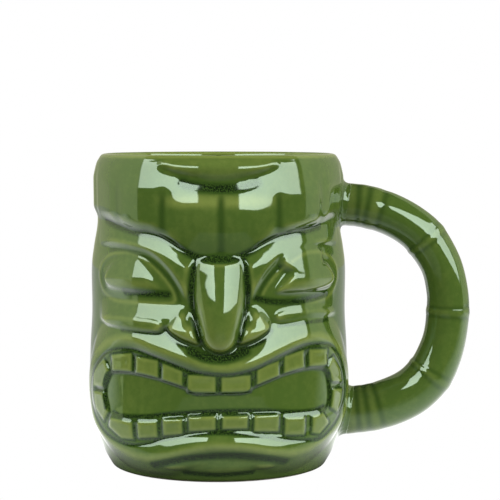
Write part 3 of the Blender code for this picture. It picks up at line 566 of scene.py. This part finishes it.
def add_nose(relief):
    levels = smooth_curve(NOSE, 6)
    part, u, z = relief.near([(-NOSE_REACH, NOSE[0][0]), (NOSE_REACH, NOSE[-1][0])], 1.0)
    u = u - NOSE_MIDDLE
    half_width = np.interp(z, levels[:, 0], levels[:, 1], left=0.0, right=0.0)
    rise = np.interp(z, levels[:, 0], levels[:, 2], left=0.0, right=0.0)
    across = np.clip(np.abs(u) / np.maximum(half_width, TINY), 0.0, 1.0)
    share = eased(z, NOSE_ROUND_AT, NOSE_ROUND)
    section = share * np.sqrt(1.0 - across ** 2) + (1.0 - share) * (1.0 - across ** 2)
    relief.raise_to(part, rise * section)


def add_nostril(relief, outline):
    part, u, z = relief.near(outline, 1.0)
    top, bottom = NOSTRIL_RISE
    rise = top + (bottom - top) * slope(z, *NOSTRIL_SLOPE)
    depth = depth_inside(u, z, outline)
    crisp = rounded_edge(depth, NOSTRIL_ROUNDING[0])
    soft = ramp(depth, 0.0, NOSTRIL_ROUNDING[1])
    relief.raise_to(part, rise * (crisp + (soft - crisp) * ramp(z, *NOSTRIL_SOFT)))


def add_mouth(relief):
    """The lip ridge, the teeth on their lower ground inside it, and the floor of the mouth."""
    part, u, z = relief.near(LIP_CREST, LIP_SLOPE_OUT[1] + 1.0)
    depth = depth_inside(u, z, LIP_CREST)
    lower = ramp(z, *LOWER_LIP_TOP)
    rise = LIP_RISE + (LOWER_LIP_RISE - LIP_RISE) * lower
    wide = lower * ramp(np.abs(u), *LIP_SLOPE_SIDE)
    slope_in = LIP_SLOPE_IN[0] + (LIP_SLOPE_IN[1] - LIP_SLOPE_IN[0]) * wide
    gum = gum_level(u, z) + TOOTH_RISE * (1.0 - lower) * ramp(depth - slope_in, *GUM_UPPER)
    slope_out = eased(np.abs(u), LIP_SLOPE_OUT_SIDE, LIP_SLOPE_OUT)
    outside = rise * soft_slope(-depth, slope_out)
    inside = gum + (rise - gum) * soft_slope(depth, slope_in)
    relief.height[part] = np.where(depth > 0.0, inside, np.maximum(relief.height[part], outside))
    relief.lighten(part, LIP_LIGHT * soft_ridge(depth, LIP_LIGHT_HALF_WIDTH))
    under = np.maximum(MOUTH_TILT_FROM - z, 0.0) * ramp(np.abs(u), *MOUTH_TILT_WIDTH)
    floor = MOUTH_RADIUS + MOUTH_LEAN * (MOUTH_TOP - z) - relief.wall[part] - MOUTH_TILT * under
    floor = floor + gum_level(u, z) - GUM_LEVEL[0]
    sunk = ramp(depth_inside(u, z, MOUTH_FLOOR), -MOUTH_WALL, MOUTH_WALL)
    relief.height[part] += (floor - relief.height[part]) * sunk
    for tooth in TEETH:
        add_tooth(relief, tooth)


def gum_level(u, z):
    """Height of the ground between the teeth."""
    middle, corner = GUM_LEVEL
    out = np.abs(u) + GUM_LOW_SHIFT * ramp(z, *LOWER_LIP_TOP)
    return middle + (corner - middle) * ramp(out, *GUM_CORNER)


def soft_slope(distance, width):
    """1 at the crest of a lip, 0 at width from it: rounded at the crest and nearly straight below it."""
    t = np.clip(distance / width, 0.0, 1.0)
    crown = LIP_CROWN / width
    return 1.0 - (np.sqrt(t ** 2 + crown ** 2) - crown) / (np.sqrt(1.0 + crown ** 2) - crown)


def add_tooth(relief, outline):
    part, u, z = relief.near(outline, 1.0)
    depth = depth_inside(u, z, outline, 1)
    form = TOOTH_RISE * rounded_edge(depth + TOOTH_FOOT, TOOTH_ROUNDING)
    hollow = TOOTH_HOLLOW * ramp(depth, *TOOTH_HOLLOW_BETWEEN)
    inside = depth > -TOOTH_FOOT
    raised = gum_level(u, z) + form - hollow
    relief.height[part] = np.where(inside, np.maximum(relief.height[part], raised), relief.height[part])
    relief.darken(part, TOOTH_POOL * soft_ridge(depth + TOOTH_POOL_OUT, TOOTH_POOL_HALF_WIDTH))
    rim = TOOTH_RIM_LIGHT * soft_ridge(depth - TOOTH_RIM, TOOTH_RIM_HALF_WIDTH)
    relief.lighten(part, TOOTH_LIGHT * ramp(depth, 0.0, TOOTH_LIGHT_EDGE) + rim)


def add_headband(relief):
    """The band: shoulder, belly over the brows, bevelled lower edge, flutes and the crescent."""
    u, z = relief.u, relief.z
    edge = smooth_curve(BAND_EDGE, 6)
    above = z - np.interp(u, edge[:, 0], edge[:, 1])
    front = ramp(np.abs(u), *BELLY_WIDTH)
    foot = eased(u, BAND_PLACES, BAND_SHOULDER_FOOT)
    side_form = eased(u, BAND_PLACES, BAND_RISE) * slope(z, BAND_SHOULDER_TOP, foot)
    side_form = side_form * slope(above, 0.0, BAND_BEVEL)
    over = z - BELLY_HEIGHT
    bend = np.minimum(over, BELLY_STEEPEST * BELLY_ROUND)
    belly = BELLY_RADIUS - bend ** 2 / (2 * BELLY_ROUND) - BELLY_STEEPEST * (over - bend)
    form = side_form + (np.maximum(belly - relief.wall, 0.0) - side_form) * front
    lens = (CRESCENT_RADIUS - relief.wall) * ramp(z, *CRESCENT_SHOULDER)
    inside = ramp(depth_inside(u, z, CRESCENT), 0.0, CRESCENT_ROUNDING)
    form = form + np.maximum(lens - form, 0.0) * inside
    everywhere = (slice(None), slice(None))
    relief.lighten(everywhere, CRESCENT_LIGHT * inside)
    # lighter band round the belly's upper slope: thin glaze, and painted light where the belly faces up
    crest = soft_ridge(z - BELLY_CREST, BELLY_CREST_HALF_WIDTH)
    relief.lighten(everywhere, BELLY_THIN_AND_LIT * front * crest)
    pitch = 2 * math.pi * UNROLL_RADIUS / FLUTE_COUNT
    from_flute = (u - FLUTE_OFFSET + pitch / 2) % pitch - pitch / 2
    depth = FLUTE_DEPTH[0] + (FLUTE_DEPTH[1] - FLUTE_DEPTH[0]) * ramp(u, *FLUTE_CHANGE)
    in_front = ramp(np.abs(u), *FLUTE_FRONT)
    fluted = ramp(z + FLUTE_DROP * in_front, *FLUTE_TOP)
    flutes = depth * soft_ridge(from_flute, FLUTE_HALF_WIDTH) * fluted
    form = form - flutes * ramp(above, 0.0, BAND_BEVEL)
    on_band = ramp(above, -BAND_STEP, BAND_STEP)
    pooled = soft_ridge(from_flute, FLUTE_POOL_SHARE * FLUTE_HALF_WIDTH) * fluted
    pooled = pooled * ramp(above, 0.0, BAND_BEVEL)
    relief.darken(everywhere, FLUTE_POOL * pooled * in_front * on_band)
    relief.height += (form - relief.height) * on_band


def add_chin(relief):
    part, u, z = relief.near(CHIN, 2.0)
    form = rounded_edge(depth_inside(u, z, CHIN), CHIN_ROUNDING)
    relief.height[part] += CHIN_RISE * form
    relief.lighten(part, CHIN_LIGHT * form)


def cut_creases(relief):
    for points, *crease in CREASES:
        cut_crease(relief, smooth_curve(points, 5), *crease)
    cut_crease(relief, closed(LIP_CREASE), *LIP_CREASE_FORM)
    cut_crease(relief, smooth_curve(MOUTH_ROOF, 5), *ROOF_CREASE_FORM)


def cut_crease(relief, path, depth, half_width, pool_half_width, darkness):
    part, u, z = relief.near(path, 2.0 * pool_half_width)
    distance = distance_to_path(u, z, path)
    relief.height[part] -= depth * soft_ridge(distance, half_width)
    relief.darken(part, darkness * soft_ridge(distance, pool_half_width))


def make_relief():
    relief = Relief()
    for side, placed in (('left', list), ('right', mirrored)):
        add_brow(relief, placed(BROW))
        add_eye(relief, placed(EYELID), placed(EYEBALL), EYEBALL_RISE[side], EYEBALL_MIDDLE[side])
        add_nostril(relief, placed(NOSTRIL))
        add_cheek(relief, WHISKER[side], CHEEK_RISE[side])
    join_brow(relief)
    add_nose(relief)
    add_mouth(relief)
    add_headband(relief)
    add_chin(relief)
    cut_creases(relief)
    cells = 1.0 / MAP_STEP
    soft, crisp = (blur(relief.height, reach * cells) for reach in GLAZE_SOFTENING)
    part, u, z = relief.near(LIP_CREST, 1.0)
    in_mouth = ramp(depth_inside(u, z, LIP_CREST), *MOUTH_SOFTENING)
    soft[part] += (crisp[part] - soft[part]) * in_mouth
    relief.height = soft * ramp(relief.z, *FADE_AT_BASE)
    sunk = blur(relief.height, POOL_REACH * cells) - relief.height
    proud = relief.height - blur(relief.height, BREAK_REACH * cells)
    relief.pool = np.clip(relief.pool + POOL_SHARE * slope(sunk, *POOL_DEPTH), 0.0, 1.0)
    relief.edge = np.maximum(relief.edge, slope(proud, *BREAK_HEIGHT))
    return relief


# --- Meshes --------------------------------------------------------------------------------------

def grid_faces(rows, columns, wrap_rows=False, wrap_columns=True):
    """Quads of a grid of points numbered row by row."""
    row = np.arange(rows if wrap_rows else rows - 1)
    column = np.arange(columns if wrap_columns else columns - 1)
    i, j = np.meshgrid(row, column, indexing='ij')
    next_i, next_j = (i + 1) % rows, (j + 1) % columns
    quads = np.stack([i * columns + j, i * columns + next_j, next_i * columns + next_j,
                      next_i * columns + j], axis=-1)
    return quads.reshape(-1, 4).tolist()


def new_piece(name, points, faces, attributes, material):
    """A smooth-shaded object from points in mm, with a number per point for each attribute."""
    mesh = bpy.data.meshes.new(name)
    mesh.from_pydata((np.asarray(points) * MM).tolist(), [], faces)
    mesh.update()
    for key, values in attributes.items():
        layer = mesh.attributes.new(key, 'FLOAT', 'POINT')
        layer.data.foreach_set("value", np.asarray(values, dtype=np.float32))
    mesh.shade_smooth()
    mesh.materials.append(material)
    piece = bpy.data.objects.new(name, mesh)
    bpy.context.scene.collection.objects.link(piece)
    return piece


def column_angles():
    """Angles of the columns round the cup, close together on the face."""
    front = int(2 * FRONT_HALF_WIDTH / FRONT_PITCH)
    rest = COLUMNS - front
    half_turn = math.pi * UNROLL_RADIUS
    ahead = np.linspace(-FRONT_HALF_WIDTH, FRONT_HALF_WIDTH, front + 1)
    t = np.linspace(0.0, 1.0, rest + 1)[1:-1]
    swell = t - CROWDING * np.sin(2 * math.pi * t) / (2 * math.pi)
    behind = FRONT_HALF_WIDTH + swell * 2 * (half_turn - FRONT_HALF_WIDTH)
    return np.concatenate([ahead, behind]) / UNROLL_RADIUS


def wall_section():
    """Points of the cup's section, (radius, height): floor, inner wall, rim, outer wall, base."""
    outer = smooth_curve(OUTER_OUTLINE, 16)
    middle = 0.5 * (outer[:-1, 1] + outer[1:, 1])
    pitch = np.where(middle > RIM_HEIGHT, RIM_PITCH, np.where(middle > FACE_TOP, BAND_PITCH, FACE_PITCH))
    outer = resample(outer, pitch)
    inner = smooth_curve(INNER_OUTLINE, 6)
    steps = np.where(0.5 * (inner[:-1, 1] + inner[1:, 1]) > RIM_HEIGHT, RIM_PITCH_INSIDE, INSIDE_PITCH)
    inner = resample(inner, steps)
    foot = [(radius, 0.0) for radius in FOOT_RADII]
    return np.vstack([inner, outer, foot])


def resample(curve, pitch):
    """A curve's points moved to lie a pitch apart, where pitch is given piece by piece."""
    rows = np.concatenate([[0.0], np.cumsum(np.hypot(*np.diff(curve, axis=0).T) / pitch)])
    stations = np.linspace(0.0, rows[-1], int(round(rows[-1])) + 1)
    return np.stack([np.interp(stations, rows, curve[:, 0]), np.interp(stations, rows, curve[:, 1])], 1)


def wrap_u(angle):
    """u of an angle round the cup."""
    return UNROLL_RADIUS * ((angle + math.pi) % (2 * math.pi) - math.pi)


def make_cup(relief, material, clay):
    section = wall_section()
    angles = column_angles()
    rows, columns = len(section), len(angles)
    radius = np.repeat(section[:, :1], columns, axis=1)
    z = np.repeat(section[:, 1:], columns, axis=1)
    angle = np.repeat(angles[None, :], rows, axis=0)
    outer_rows = np.arange(rows) > np.argmax(section[:, 1])
    wall_in = outline_radius(INNER_OUTLINE[2:], z)
    wall_out = outline_radius(OUTER_OUTLINE, z)
    share = ramp((radius - wall_in) / (wall_out - wall_in), *OUTWARD) * outer_rows[:, None]
    u = wrap_u(angle)
    radius = radius + share * relief.read(relief.height, u, z)
    points = np.stack([radius * np.sin(angle), -radius * np.cos(angle), z], axis=-1).reshape(-1, 3)
    on_rim = ramp(z, *RIM_THIN)
    pool = relief.read(relief.pool, u, z) * share
    # edge: thin glaze over ridges and the rim, with the belly's band of painted light
    edge = np.maximum(relief.read(relief.edge, u, z) * share, on_rim)
    faces = [face[::-1] for face in grid_faces(rows, columns)]
    cup = new_piece("glazed_cup", points, faces, {"pool": pool.ravel(), "edge": edge.ravel()}, material)
    weld(cup)
    cup.data.materials.append(clay)
    for face in cup.data.polygons:
        if face.center.z < GLAZE_LINE * MM and face.normal.z < FACES_DOWN:
            face.material_index = 1
    return cup


def weld(piece):
    """Join points that lie on each other, such as those at the middle of the floor and the base."""
    work = bmesh.new()
    work.from_mesh(piece.data)
    bmesh.ops.remove_doubles(work, verts=work.verts, dist=WELD * MM)
    work.to_mesh(piece.data)
    work.free()


def handle_line():
    """Centres, radii and tangents along the handle, with its glaze pools and ridges."""
    curve = smooth_curve(HANDLE_PATH, PATH_PIECES)
    lengths = np.concatenate([[0.0], np.cumsum(np.hypot(*np.diff(curve[:, :2], axis=0).T))])
    nodes = [lengths[PATH_PIECES * index] for index in NODE_POINTS]
    start = np.interp(HANDLE_PATH[0][0] + HANDLE_BURIED, curve[:PATH_PIECES, 0], lengths[:PATH_PIECES])
    end = lengths[-1] - start
    stations = np.linspace(start, end, HANDLE_STATIONS)
    centre = np.stack([np.interp(stations, lengths, curve[:, k]) for k in (0, 1)], axis=1)
    radius = np.interp(stations, lengths, curve[:, 2])
    pool = np.zeros(HANDLE_STATIONS)
    edge = np.zeros(HANDLE_STATIONS)
    for node in nodes:
        ridge = np.exp(-((stations - node) / NODE_LENGTH) ** 2)
        radius += NODE_RISE * ridge
        edge = np.maximum(edge, NODE_LIGHT * ridge)
        for offset in NODE_GROOVES:
            groove = np.exp(-((stations - node - offset) / NODE_GROOVE_LENGTH) ** 2)
            radius -= NODE_GROOVE_DEPTH * groove
            pool = np.maximum(pool, NODE_POOL * groove)
    middle = 0.5 * (start + end)
    for rings, half in zip(ROOT_GROOVES, (stations < middle, stations >= middle)):
        for x in rings:
            groove = half * np.exp(-((centre[:, 0] - x) / ROOT_GROOVE_LENGTH) ** 2)
            radius -= ROOT_GROOVE_DEPTH * groove
            pool = np.maximum(pool, ROOT_POOL * groove)
        between = half * ramp(centre[:, 0], *ROOT_LIGHT_END)
        edge = np.maximum(edge, ROOT_LIGHT * between)
    tangent = np.gradient(centre, axis=0)
    tangent /= np.hypot(*tangent.T)[:, None]
    return stations, centre, radius, tangent, pool, edge


def handle_points(centre, radius, tangent, around):
    """Points round the handle: around is the angle from the outside of the bend towards -Y."""
    outward = np.stack([-tangent[..., 1], np.zeros(tangent.shape[:-1]), tangent[..., 0]], axis=-1)
    middle = np.stack([centre[..., 0], np.zeros(centre.shape[:-1]), centre[..., 1]], axis=-1)
    side = np.array([0.0, -1.0, 0.0])
    around = around[..., None]
    return middle + radius[..., None] * (np.cos(around) * outward + np.sin(around) * side)


def make_handle(line, material):
    stations, centre, radius, tangent, pool, edge = line
    around = np.linspace(0.0, 2 * math.pi, HANDLE_SIDES, endpoint=False)
    shape = (HANDLE_STATIONS, HANDLE_SIDES)
    centres = np.broadcast_to(centre[:, None], shape + (2,))
    radii = np.broadcast_to(radius[:, None], shape)
    tangents = np.broadcast_to(tangent[:, None], shape + (2,))
    tube = handle_points(centres, radii, tangents, np.broadcast_to(around, shape))
    ends = [(centre[0, 0], 0.0, centre[0, 1]), (centre[-1, 0], 0.0, centre[-1, 1])]
    points = np.vstack([tube.reshape(-1, 3), ends])
    faces = grid_faces(HANDLE_STATIONS, HANDLE_SIDES)
    count = HANDLE_STATIONS * HANDLE_SIDES
    last = count - HANDLE_SIDES
    for k in range(HANDLE_SIDES):
        following = (k + 1) % HANDLE_SIDES
        faces.append([count, following, k])
        faces.append([count + 1, last + k, last + following])
    pools = np.append(np.repeat(pool, HANDLE_SIDES), [0.0, 0.0])
    edges = np.append(np.repeat(edge, HANDLE_SIDES), [0.0, 0.0])
    return new_piece("glazed_handle", points, faces, {"pool": pools, "edge": edges}, material)


def wall_radius(relief, x, y, z):
    """Radius of the finished wall in the direction of a point."""
    angle = np.arctan2(x, -y)
    return outline_radius(OUTER_OUTLINE, z) + relief.read(relief.height, wrap_u(angle), z)


def make_fillet(name, relief, line, at_end, material):
    """A concave fillet round one root, from the wall to the handle, with a hidden side behind it."""
    stations, centre, radius, tangent, _, _ = line
    order = slice(None, None, -1) if at_end else slice(None)
    centre, radius, tangent = centre[order], radius[order], tangent[order]
    lengths = np.abs(stations[order] - stations[order][0])
    around = np.linspace(0.0, 2 * math.pi, FILLET_SIDES, endpoint=False)
    rings = []
    for angle in around:
        count = len(centre)
        track = handle_points(centre, radius, tangent, np.full(count, angle))
        gap = np.hypot(track[:, 0], track[:, 1]) - wall_radius(relief, *track.T)
        first = int(np.argmax(gap > 0.0))
        corner = track[first]
        reach = np.interp(lengths[first] + FILLET_ALONG, lengths, np.arange(count))
        on_handle = track[int(reach)]
        away = corner - np.array([centre[first, 0], 0.0, centre[first, 1]])
        out = np.array([corner[0], corner[1], 0.0])
        out /= np.linalg.norm(out)
        away -= out * (away @ out)
        away /= np.linalg.norm(away)
        on_wall = corner + FILLET_ACROSS * away
        on_wall[:2] *= wall_radius(relief, *on_wall) / np.hypot(*on_wall[:2])
        t = np.linspace(0.0, 1.0, FILLET_STEPS)[:, None]
        arc = (1 - t) ** 2 * on_handle + 2 * t * (1 - t) * corner + t ** 2 * on_wall
        inward = corner - out * FILLET_BACKING - away * FILLET_BACKING
        behind_wall = on_wall - out * FILLET_BACKING
        behind_handle = on_handle - away * FILLET_BACKING
        rings.append(np.vstack([arc, behind_wall, inward, behind_handle]))
    points = np.array(rings)
    steps = points.shape[1]
    faces = grid_faces(FILLET_SIDES, steps, wrap_rows=True)
    if at_end:
        faces = [face[::-1] for face in faces]
    t = np.linspace(0.0, 1.0, FILLET_STEPS)
    shown = FILLET_POOL * np.exp(-((t - FILLET_POOL_AT) / FILLET_POOL_WIDTH) ** 2)
    pooled = np.concatenate([shown, np.zeros(steps - FILLET_STEPS)])
    pool = np.tile(pooled, FILLET_SIDES)
    return new_piece(name, points.reshape(-1, 3), faces, {"pool": pool, "edge": 0.0 * pool}, material)


# --- Materials -----------------------------------------------------------------------------------

class Nodes:
    """Short calls for building a node tree."""

    def __init__(self, tree):
        self.tree = tree

    def add(self, kind, inputs=(), **settings):
        node = self.tree.nodes.new(kind)
        for key, value in settings.items():
            setattr(node, key, value)
        for key, value in dict(inputs).items():
            self.put(node.inputs[key], value)
        return node

    def put(self, socket, value):
        if isinstance(value, bpy.types.NodeSocket):
            self.tree.links.new(value, socket)
        else:
            socket.default_value = value

    def math(self, operation, first, second=0.0, clamp=False):
        node = self.add('ShaderNodeMath', {0: first, 1: second}, operation=operation, use_clamp=clamp)
        return node.outputs[0]

    def mix(self, factor, first, second):
        """A mix of two colours."""
        node = self.add('ShaderNodeMix', data_type='RGBA')
        self.put(node.inputs[0], factor)
        self.put(node.inputs[6], first)
        self.put(node.inputs[7], second)
        return node.outputs[2]

    def band(self, value, low, high, edge):
        """1 between low and high, 0 outside, with so soft an edge."""
        rise = self.map_range(value, low - edge, low + edge)
        return self.math('MULTIPLY', rise, self.map_range(value, high + edge, high - edge))

    def seen_or_reflected(self, seen, reflected):
        """One strength for what the camera sees directly, another for light and reflections."""
        from_camera = self.add('ShaderNodeLightPath').outputs['Is Camera Ray']
        seen = self.math('MULTIPLY', from_camera, seen)
        reflected = self.math('MULTIPLY', self.math('SUBTRACT', 1.0, from_camera), reflected)
        return self.math('ADD', seen, reflected)

    def attribute(self, name):
        return self.add('ShaderNodeAttribute', attribute_name=name).outputs['Fac']

    def noise(self, vector, scale, detail=2.0, roughness=0.5):
        inputs = {'Vector': vector, 'Scale': scale, 'Detail': detail, 'Roughness': roughness}
        return self.add('ShaderNodeTexNoise', inputs).outputs['Fac']

    def map_range(self, value, low, high, to_low=0.0, to_high=1.0, smooth=False):
        kind = 'SMOOTHSTEP' if smooth else 'LINEAR'
        inputs = {'Value': value, 'From Min': low, 'From Max': high, 'To Min': to_low, 'To Max': to_high}
        return self.add('ShaderNodeMapRange', inputs, interpolation_type=kind, clamp=True).outputs['Result']


GLAZE = (0.038, 0.068, 0.011, 1.0)
# olive of thin glaze, also used as painted light on the belly's upper slope
GLAZE_THIN_AND_LIT = (0.100, 0.130, 0.028, 1.0)
GLAZE_DEEP = (0.020, 0.042, 0.006, 1.0)
GLAZE_SPECK = (0.004, 0.010, 0.002, 1.0)
REFLECTION_TINT = (0.78, 1.0, 0.80, 1.0)
CLAY = (0.56, 0.49, 0.38, 1.0)
CLAY_DARK = (0.44, 0.37, 0.28, 1.0)
GLAZE_IOR = 1.53
GLAZE_ROUGHNESS = 0.035
POOL_ROUGHNESS = 0.09         # the speckled pools are a little pitted
CLOUD_SCALE = 45.0            # noise scales, per metre
RIPPLE_SCALE = 160.0
STREAK_SCALE = 260.0
MOTTLE_SCALE = 420.0
GRAIN_SCALE = 900.0
SPECK_SCALE = 2100.0
STREAK_STRETCH = (1.0, 1.0, 0.16)   # streaks run down the wall


def new_material(name):
    material = bpy.data.materials.new(name)
    material.use_nodes = True
    tree = material.node_tree
    return material, Nodes(tree), tree.nodes["Principled BSDF"]


def make_glaze():
    """Celadon glaze: thin and olive on ridges, olive as painted light on the belly's upper slope, deep
    green in hollows, speckled dark where it pools.
    """
    material, nodes, shader = new_material("celadon_glaze")
    place = nodes.add('ShaderNodeTexCoord').outputs['Object']
    pool = nodes.attribute("pool")
    # edge: where the glaze thins, and the band of painted light on the belly
    edge = nodes.attribute("edge")
    cloud = nodes.noise(place, CLOUD_SCALE, 3.0)
    stretched = nodes.add('ShaderNodeMapping', {'Vector': place, 'Scale': STREAK_STRETCH}).outputs[0]
    streak = nodes.noise(stretched, STREAK_SCALE, 2.0)
    speck = nodes.noise(place, SPECK_SCALE, 1.0, 0.7)
    mottle = nodes.noise(place, MOTTLE_SCALE, 3.0, 0.65)
    thin_and_lit = nodes.math('ADD', edge, nodes.map_range(cloud, 0.35, 0.75, -0.08, 0.14))
    thin_and_lit = nodes.math('ADD', thin_and_lit, nodes.map_range(mottle, 0.3, 0.7, -0.10, 0.14))
    thin_and_lit = nodes.math('ADD', thin_and_lit, nodes.map_range(streak, 0.3, 0.7, -0.05, 0.06), clamp=True)
    colour = nodes.mix(thin_and_lit, GLAZE, GLAZE_THIN_AND_LIT)
    deep = nodes.map_range(pool, 0.0, 0.6, smooth=True)
    colour = nodes.mix(deep, colour, GLAZE_DEEP)
    speck = nodes.math('ADD', speck, nodes.map_range(pool, 0.6, 1.0, 0.0, 0.045))
    speckle = nodes.map_range(speck, 0.43, 0.57, smooth=True)
    dark = nodes.math('MULTIPLY', nodes.map_range(pool, 0.35, 0.95, smooth=True), speckle)
    colour = nodes.mix(dark, colour, GLAZE_SPECK)
    nodes.put(shader.inputs['Base Color'], colour)
    roughness = nodes.map_range(pool, 0.5, 0.9, GLAZE_ROUGHNESS, POOL_ROUGHNESS)
    nodes.put(shader.inputs['Roughness'], roughness)
    shader.inputs['IOR'].default_value = GLAZE_IOR
    shader.inputs['Specular Tint'].default_value = REFLECTION_TINT
    height = nodes.math('MULTIPLY', nodes.noise(place, RIPPLE_SCALE, 2.0), 0.6)
    bump = nodes.add('ShaderNodeBump', {'Height': height, 'Strength': 0.06, 'Distance': 0.0006})
    nodes.put(shader.inputs['Normal'], bump.outputs[0])
    return material


def make_clay():
    """Bare stoneware on the foot, which the kiln shelf touched."""
    material, nodes, shader = new_material("bare_clay")
    place = nodes.add('ShaderNodeTexCoord').outputs['Object']
    grain = nodes.noise(place, GRAIN_SCALE, 4.0, 0.7)
    tint = nodes.map_range(grain, 0.3, 0.7)
    nodes.put(shader.inputs['Base Color'], nodes.mix(tint, CLAY, CLAY_DARK))
    shader.inputs['Roughness'].default_value = 0.85
    bump = nodes.add('ShaderNodeBump', {'Height': grain, 'Strength': 0.4, 'Distance': 0.0003})
    nodes.put(shader.inputs['Normal'], bump.outputs[0])
    return material


# --- Studio --------------------------------------------------------------------------------------

# The lights are placed by where they show on a mirror ball that is seen from the front: by the
# azimuth and the tilt, in degrees, of the spot on the ball that reflects them.
SOFTBOXES = [                 # azimuths, and at each of them: lower tilt, upper tilt, radiance
    ((-37.8, -9.0), (9.0, 10.0), (32.0, 20.0), (7.6, 11.5)),
    ((9.0, 38.8), (6.0, 3.0), (18.0, 30.0), (11.5, 7.6)),
]
SOFTBOX_EDGE = 0.35           # degrees over which a softbox's light ends
SOFTBOX_MARGIN = 0.02         # the same for its lower and upper edges, as a share of its height
WALLS = (1.45, 0.45)          # radiance of the white walls beside the mug and straight behind it
WALL_TINT = (1.0, 1.02, 0.72, 1.0)   # their colour in reflections
WHITE = (1.0, 1.0, 1.0, 1.0)
WALLS_FROM = (-38.2, 41.6)    # azimuths on the ball where they start
WALLS_TOP = (52.0, 70.0)      # elevation where they end
ROOM = 0.05                   # radiance of the dark room in front
PALE = 1.0                    # what the camera sees of the walls and the table


def make_world():
    """A studio as a function of direction: two softboxes, white walls behind, a dark room in front."""
    world = bpy.data.worlds.new("studio")
    bpy.context.scene.world = world
    world.use_nodes = True
    tree = world.node_tree
    tree.nodes.clear()
    nodes = Nodes(tree)
    direction = nodes.add('ShaderNodeTexCoord').outputs['Generated']
    forward = {0: direction, 1: (0.0, -1.0, 0.0)}
    ball = nodes.add('ShaderNodeVectorMath', forward, operation='ADD').outputs[0]
    ball = nodes.add('ShaderNodeVectorMath', {0: ball}, operation='NORMALIZE').outputs[0]
    ball_x, ball_y, ball_z = nodes.add('ShaderNodeSeparateXYZ', {0: ball}).outputs
    azimuth = nodes.math('DEGREES', nodes.math('ARCTAN2', ball_x, nodes.math('MULTIPLY', ball_y, -1.0)))
    tilt = nodes.math('DEGREES', nodes.math('ARCSINE', ball_z))
    _, back, up = nodes.add('ShaderNodeSeparateXYZ', {0: direction}).outputs
    elevation = nodes.math('DEGREES', nodes.math('ARCSINE', up))
    beside = nodes.math('SUBTRACT', 1.0, nodes.band(azimuth, *WALLS_FROM, SOFTBOX_EDGE))
    walls = nodes.math('MULTIPLY', beside, nodes.map_range(back, 0.0, 0.9, *WALLS))
    walls = nodes.math('MULTIPLY', walls, nodes.map_range(elevation, *WALLS_TOP, 1.0, 0.0))
    light = nodes.math('ADD', ROOM, walls)
    for sides, lows, highs, radiances in SOFTBOXES:
        low, high, radiance = (nodes.map_range(azimuth, *sides, *pair) for pair in (lows, highs, radiances))
        share = nodes.map_range(tilt, low, high)
        inside = nodes.band(share, SOFTBOX_MARGIN, 1.0 - SOFTBOX_MARGIN, SOFTBOX_MARGIN)
        inside = nodes.math('MULTIPLY', inside, nodes.band(azimuth, *sides, SOFTBOX_EDGE))
        light = nodes.math('ADD', light, nodes.math('MULTIPLY', inside, radiance))
    strength = nodes.seen_or_reflected(PALE, light)
    tinted = nodes.math('MULTIPLY', beside, nodes.seen_or_reflected(0.0, 1.0))
    colour = nodes.mix(tinted, WHITE, WALL_TINT)
    background = nodes.add('ShaderNodeBackground', {'Color': colour, 'Strength': strength})
    output = nodes.add('ShaderNodeOutputWorld')
    tree.links.new(background.outputs[0], output.inputs['Surface'])


TABLE_OUTLINE = [             # metres: a table round the mug, with a narrower tongue in front
    (-1.2, 1.2), (-1.2, -0.115), (-0.070, -0.115), (-0.100, -0.345), (0.140, -0.345),
    (0.090, -0.115), (1.2, -0.115), (1.2, 1.2),
]
TABLE_FRONT = (-0.10, 0.0, 0.35, 1.9)   # the table's radiance grows between two values of y
TABLE_BACK = (0.05, 0.4, 1.0, 0.3)      # and falls again behind the mug
TABLE_SHADE = (0.038, 0.062)  # distances from the middle between which the mug's shade ends, m


def make_table():
    """The white table: the mug reflects it brighter behind than in front, and shaded round its base."""
    mesh = bpy.data.meshes.new("table")
    mesh.from_pydata([(x, y, 0.0) for x, y in TABLE_OUTLINE], [], [list(range(len(TABLE_OUTLINE)))])
    table = bpy.data.objects.new("table", mesh)
    bpy.context.scene.collection.objects.link(table)
    material = bpy.data.materials.new("white_table")
    material.use_nodes = True
    tree = material.node_tree
    tree.nodes.clear()
    nodes = Nodes(tree)
    place = nodes.add('ShaderNodeTexCoord').outputs['Object']
    _, y, _ = nodes.add('ShaderNodeSeparateXYZ', {0: place}).outputs
    distance = nodes.add('ShaderNodeVectorMath', {0: place}, operation='LENGTH').outputs['Value']
    shade = nodes.map_range(distance, *TABLE_SHADE, smooth=True)
    light = nodes.math('MULTIPLY', nodes.map_range(y, *TABLE_FRONT), nodes.map_range(y, *TABLE_BACK))
    light = nodes.math('MULTIPLY', light, shade)
    emission = nodes.add('ShaderNodeEmission', {'Strength': nodes.seen_or_reflected(PALE, light)})
    output = nodes.add('ShaderNodeOutputMaterial')
    tree.links.new(emission.outputs[0], output.inputs['Surface'])
    mesh.materials.append(material)


def make_camera():
    data = bpy.data.cameras.new("camera")
    data.lens = LENS
    data.sensor_width = SENSOR_WIDTH
    camera = bpy.data.objects.new("camera", data)
    camera.location = CAMERA_PLACE
    camera.rotation_euler = (math.radians(90.0 - CAMERA_PITCH), 0.0, math.radians(-CAMERA_YAW))
    bpy.context.scene.collection.objects.link(camera)
    bpy.context.scene.camera = camera


def build():
    bpy.context.scene.view_settings.view_transform = 'Standard'
    glaze = make_glaze()
    relief = make_relief()
    line = handle_line()
    pieces = [
        (make_cup(relief, glaze, make_clay()), "mug_body", "celadon_glaze"),
        (make_handle(line, glaze), "handle", "celadon_glaze"),
        (make_fillet("upper_fillet", relief, line, False, glaze), "upper_handle_lute", "pooled_glaze"),
        (make_fillet("lower_fillet", relief, line, True, glaze), "lower_handle_lute", "pooled_glaze"),
    ]
    for piece, node, slot in pieces:
        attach(piece, "root")
        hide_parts(node)
    make_world()
    make_table()
    make_camera()


build()
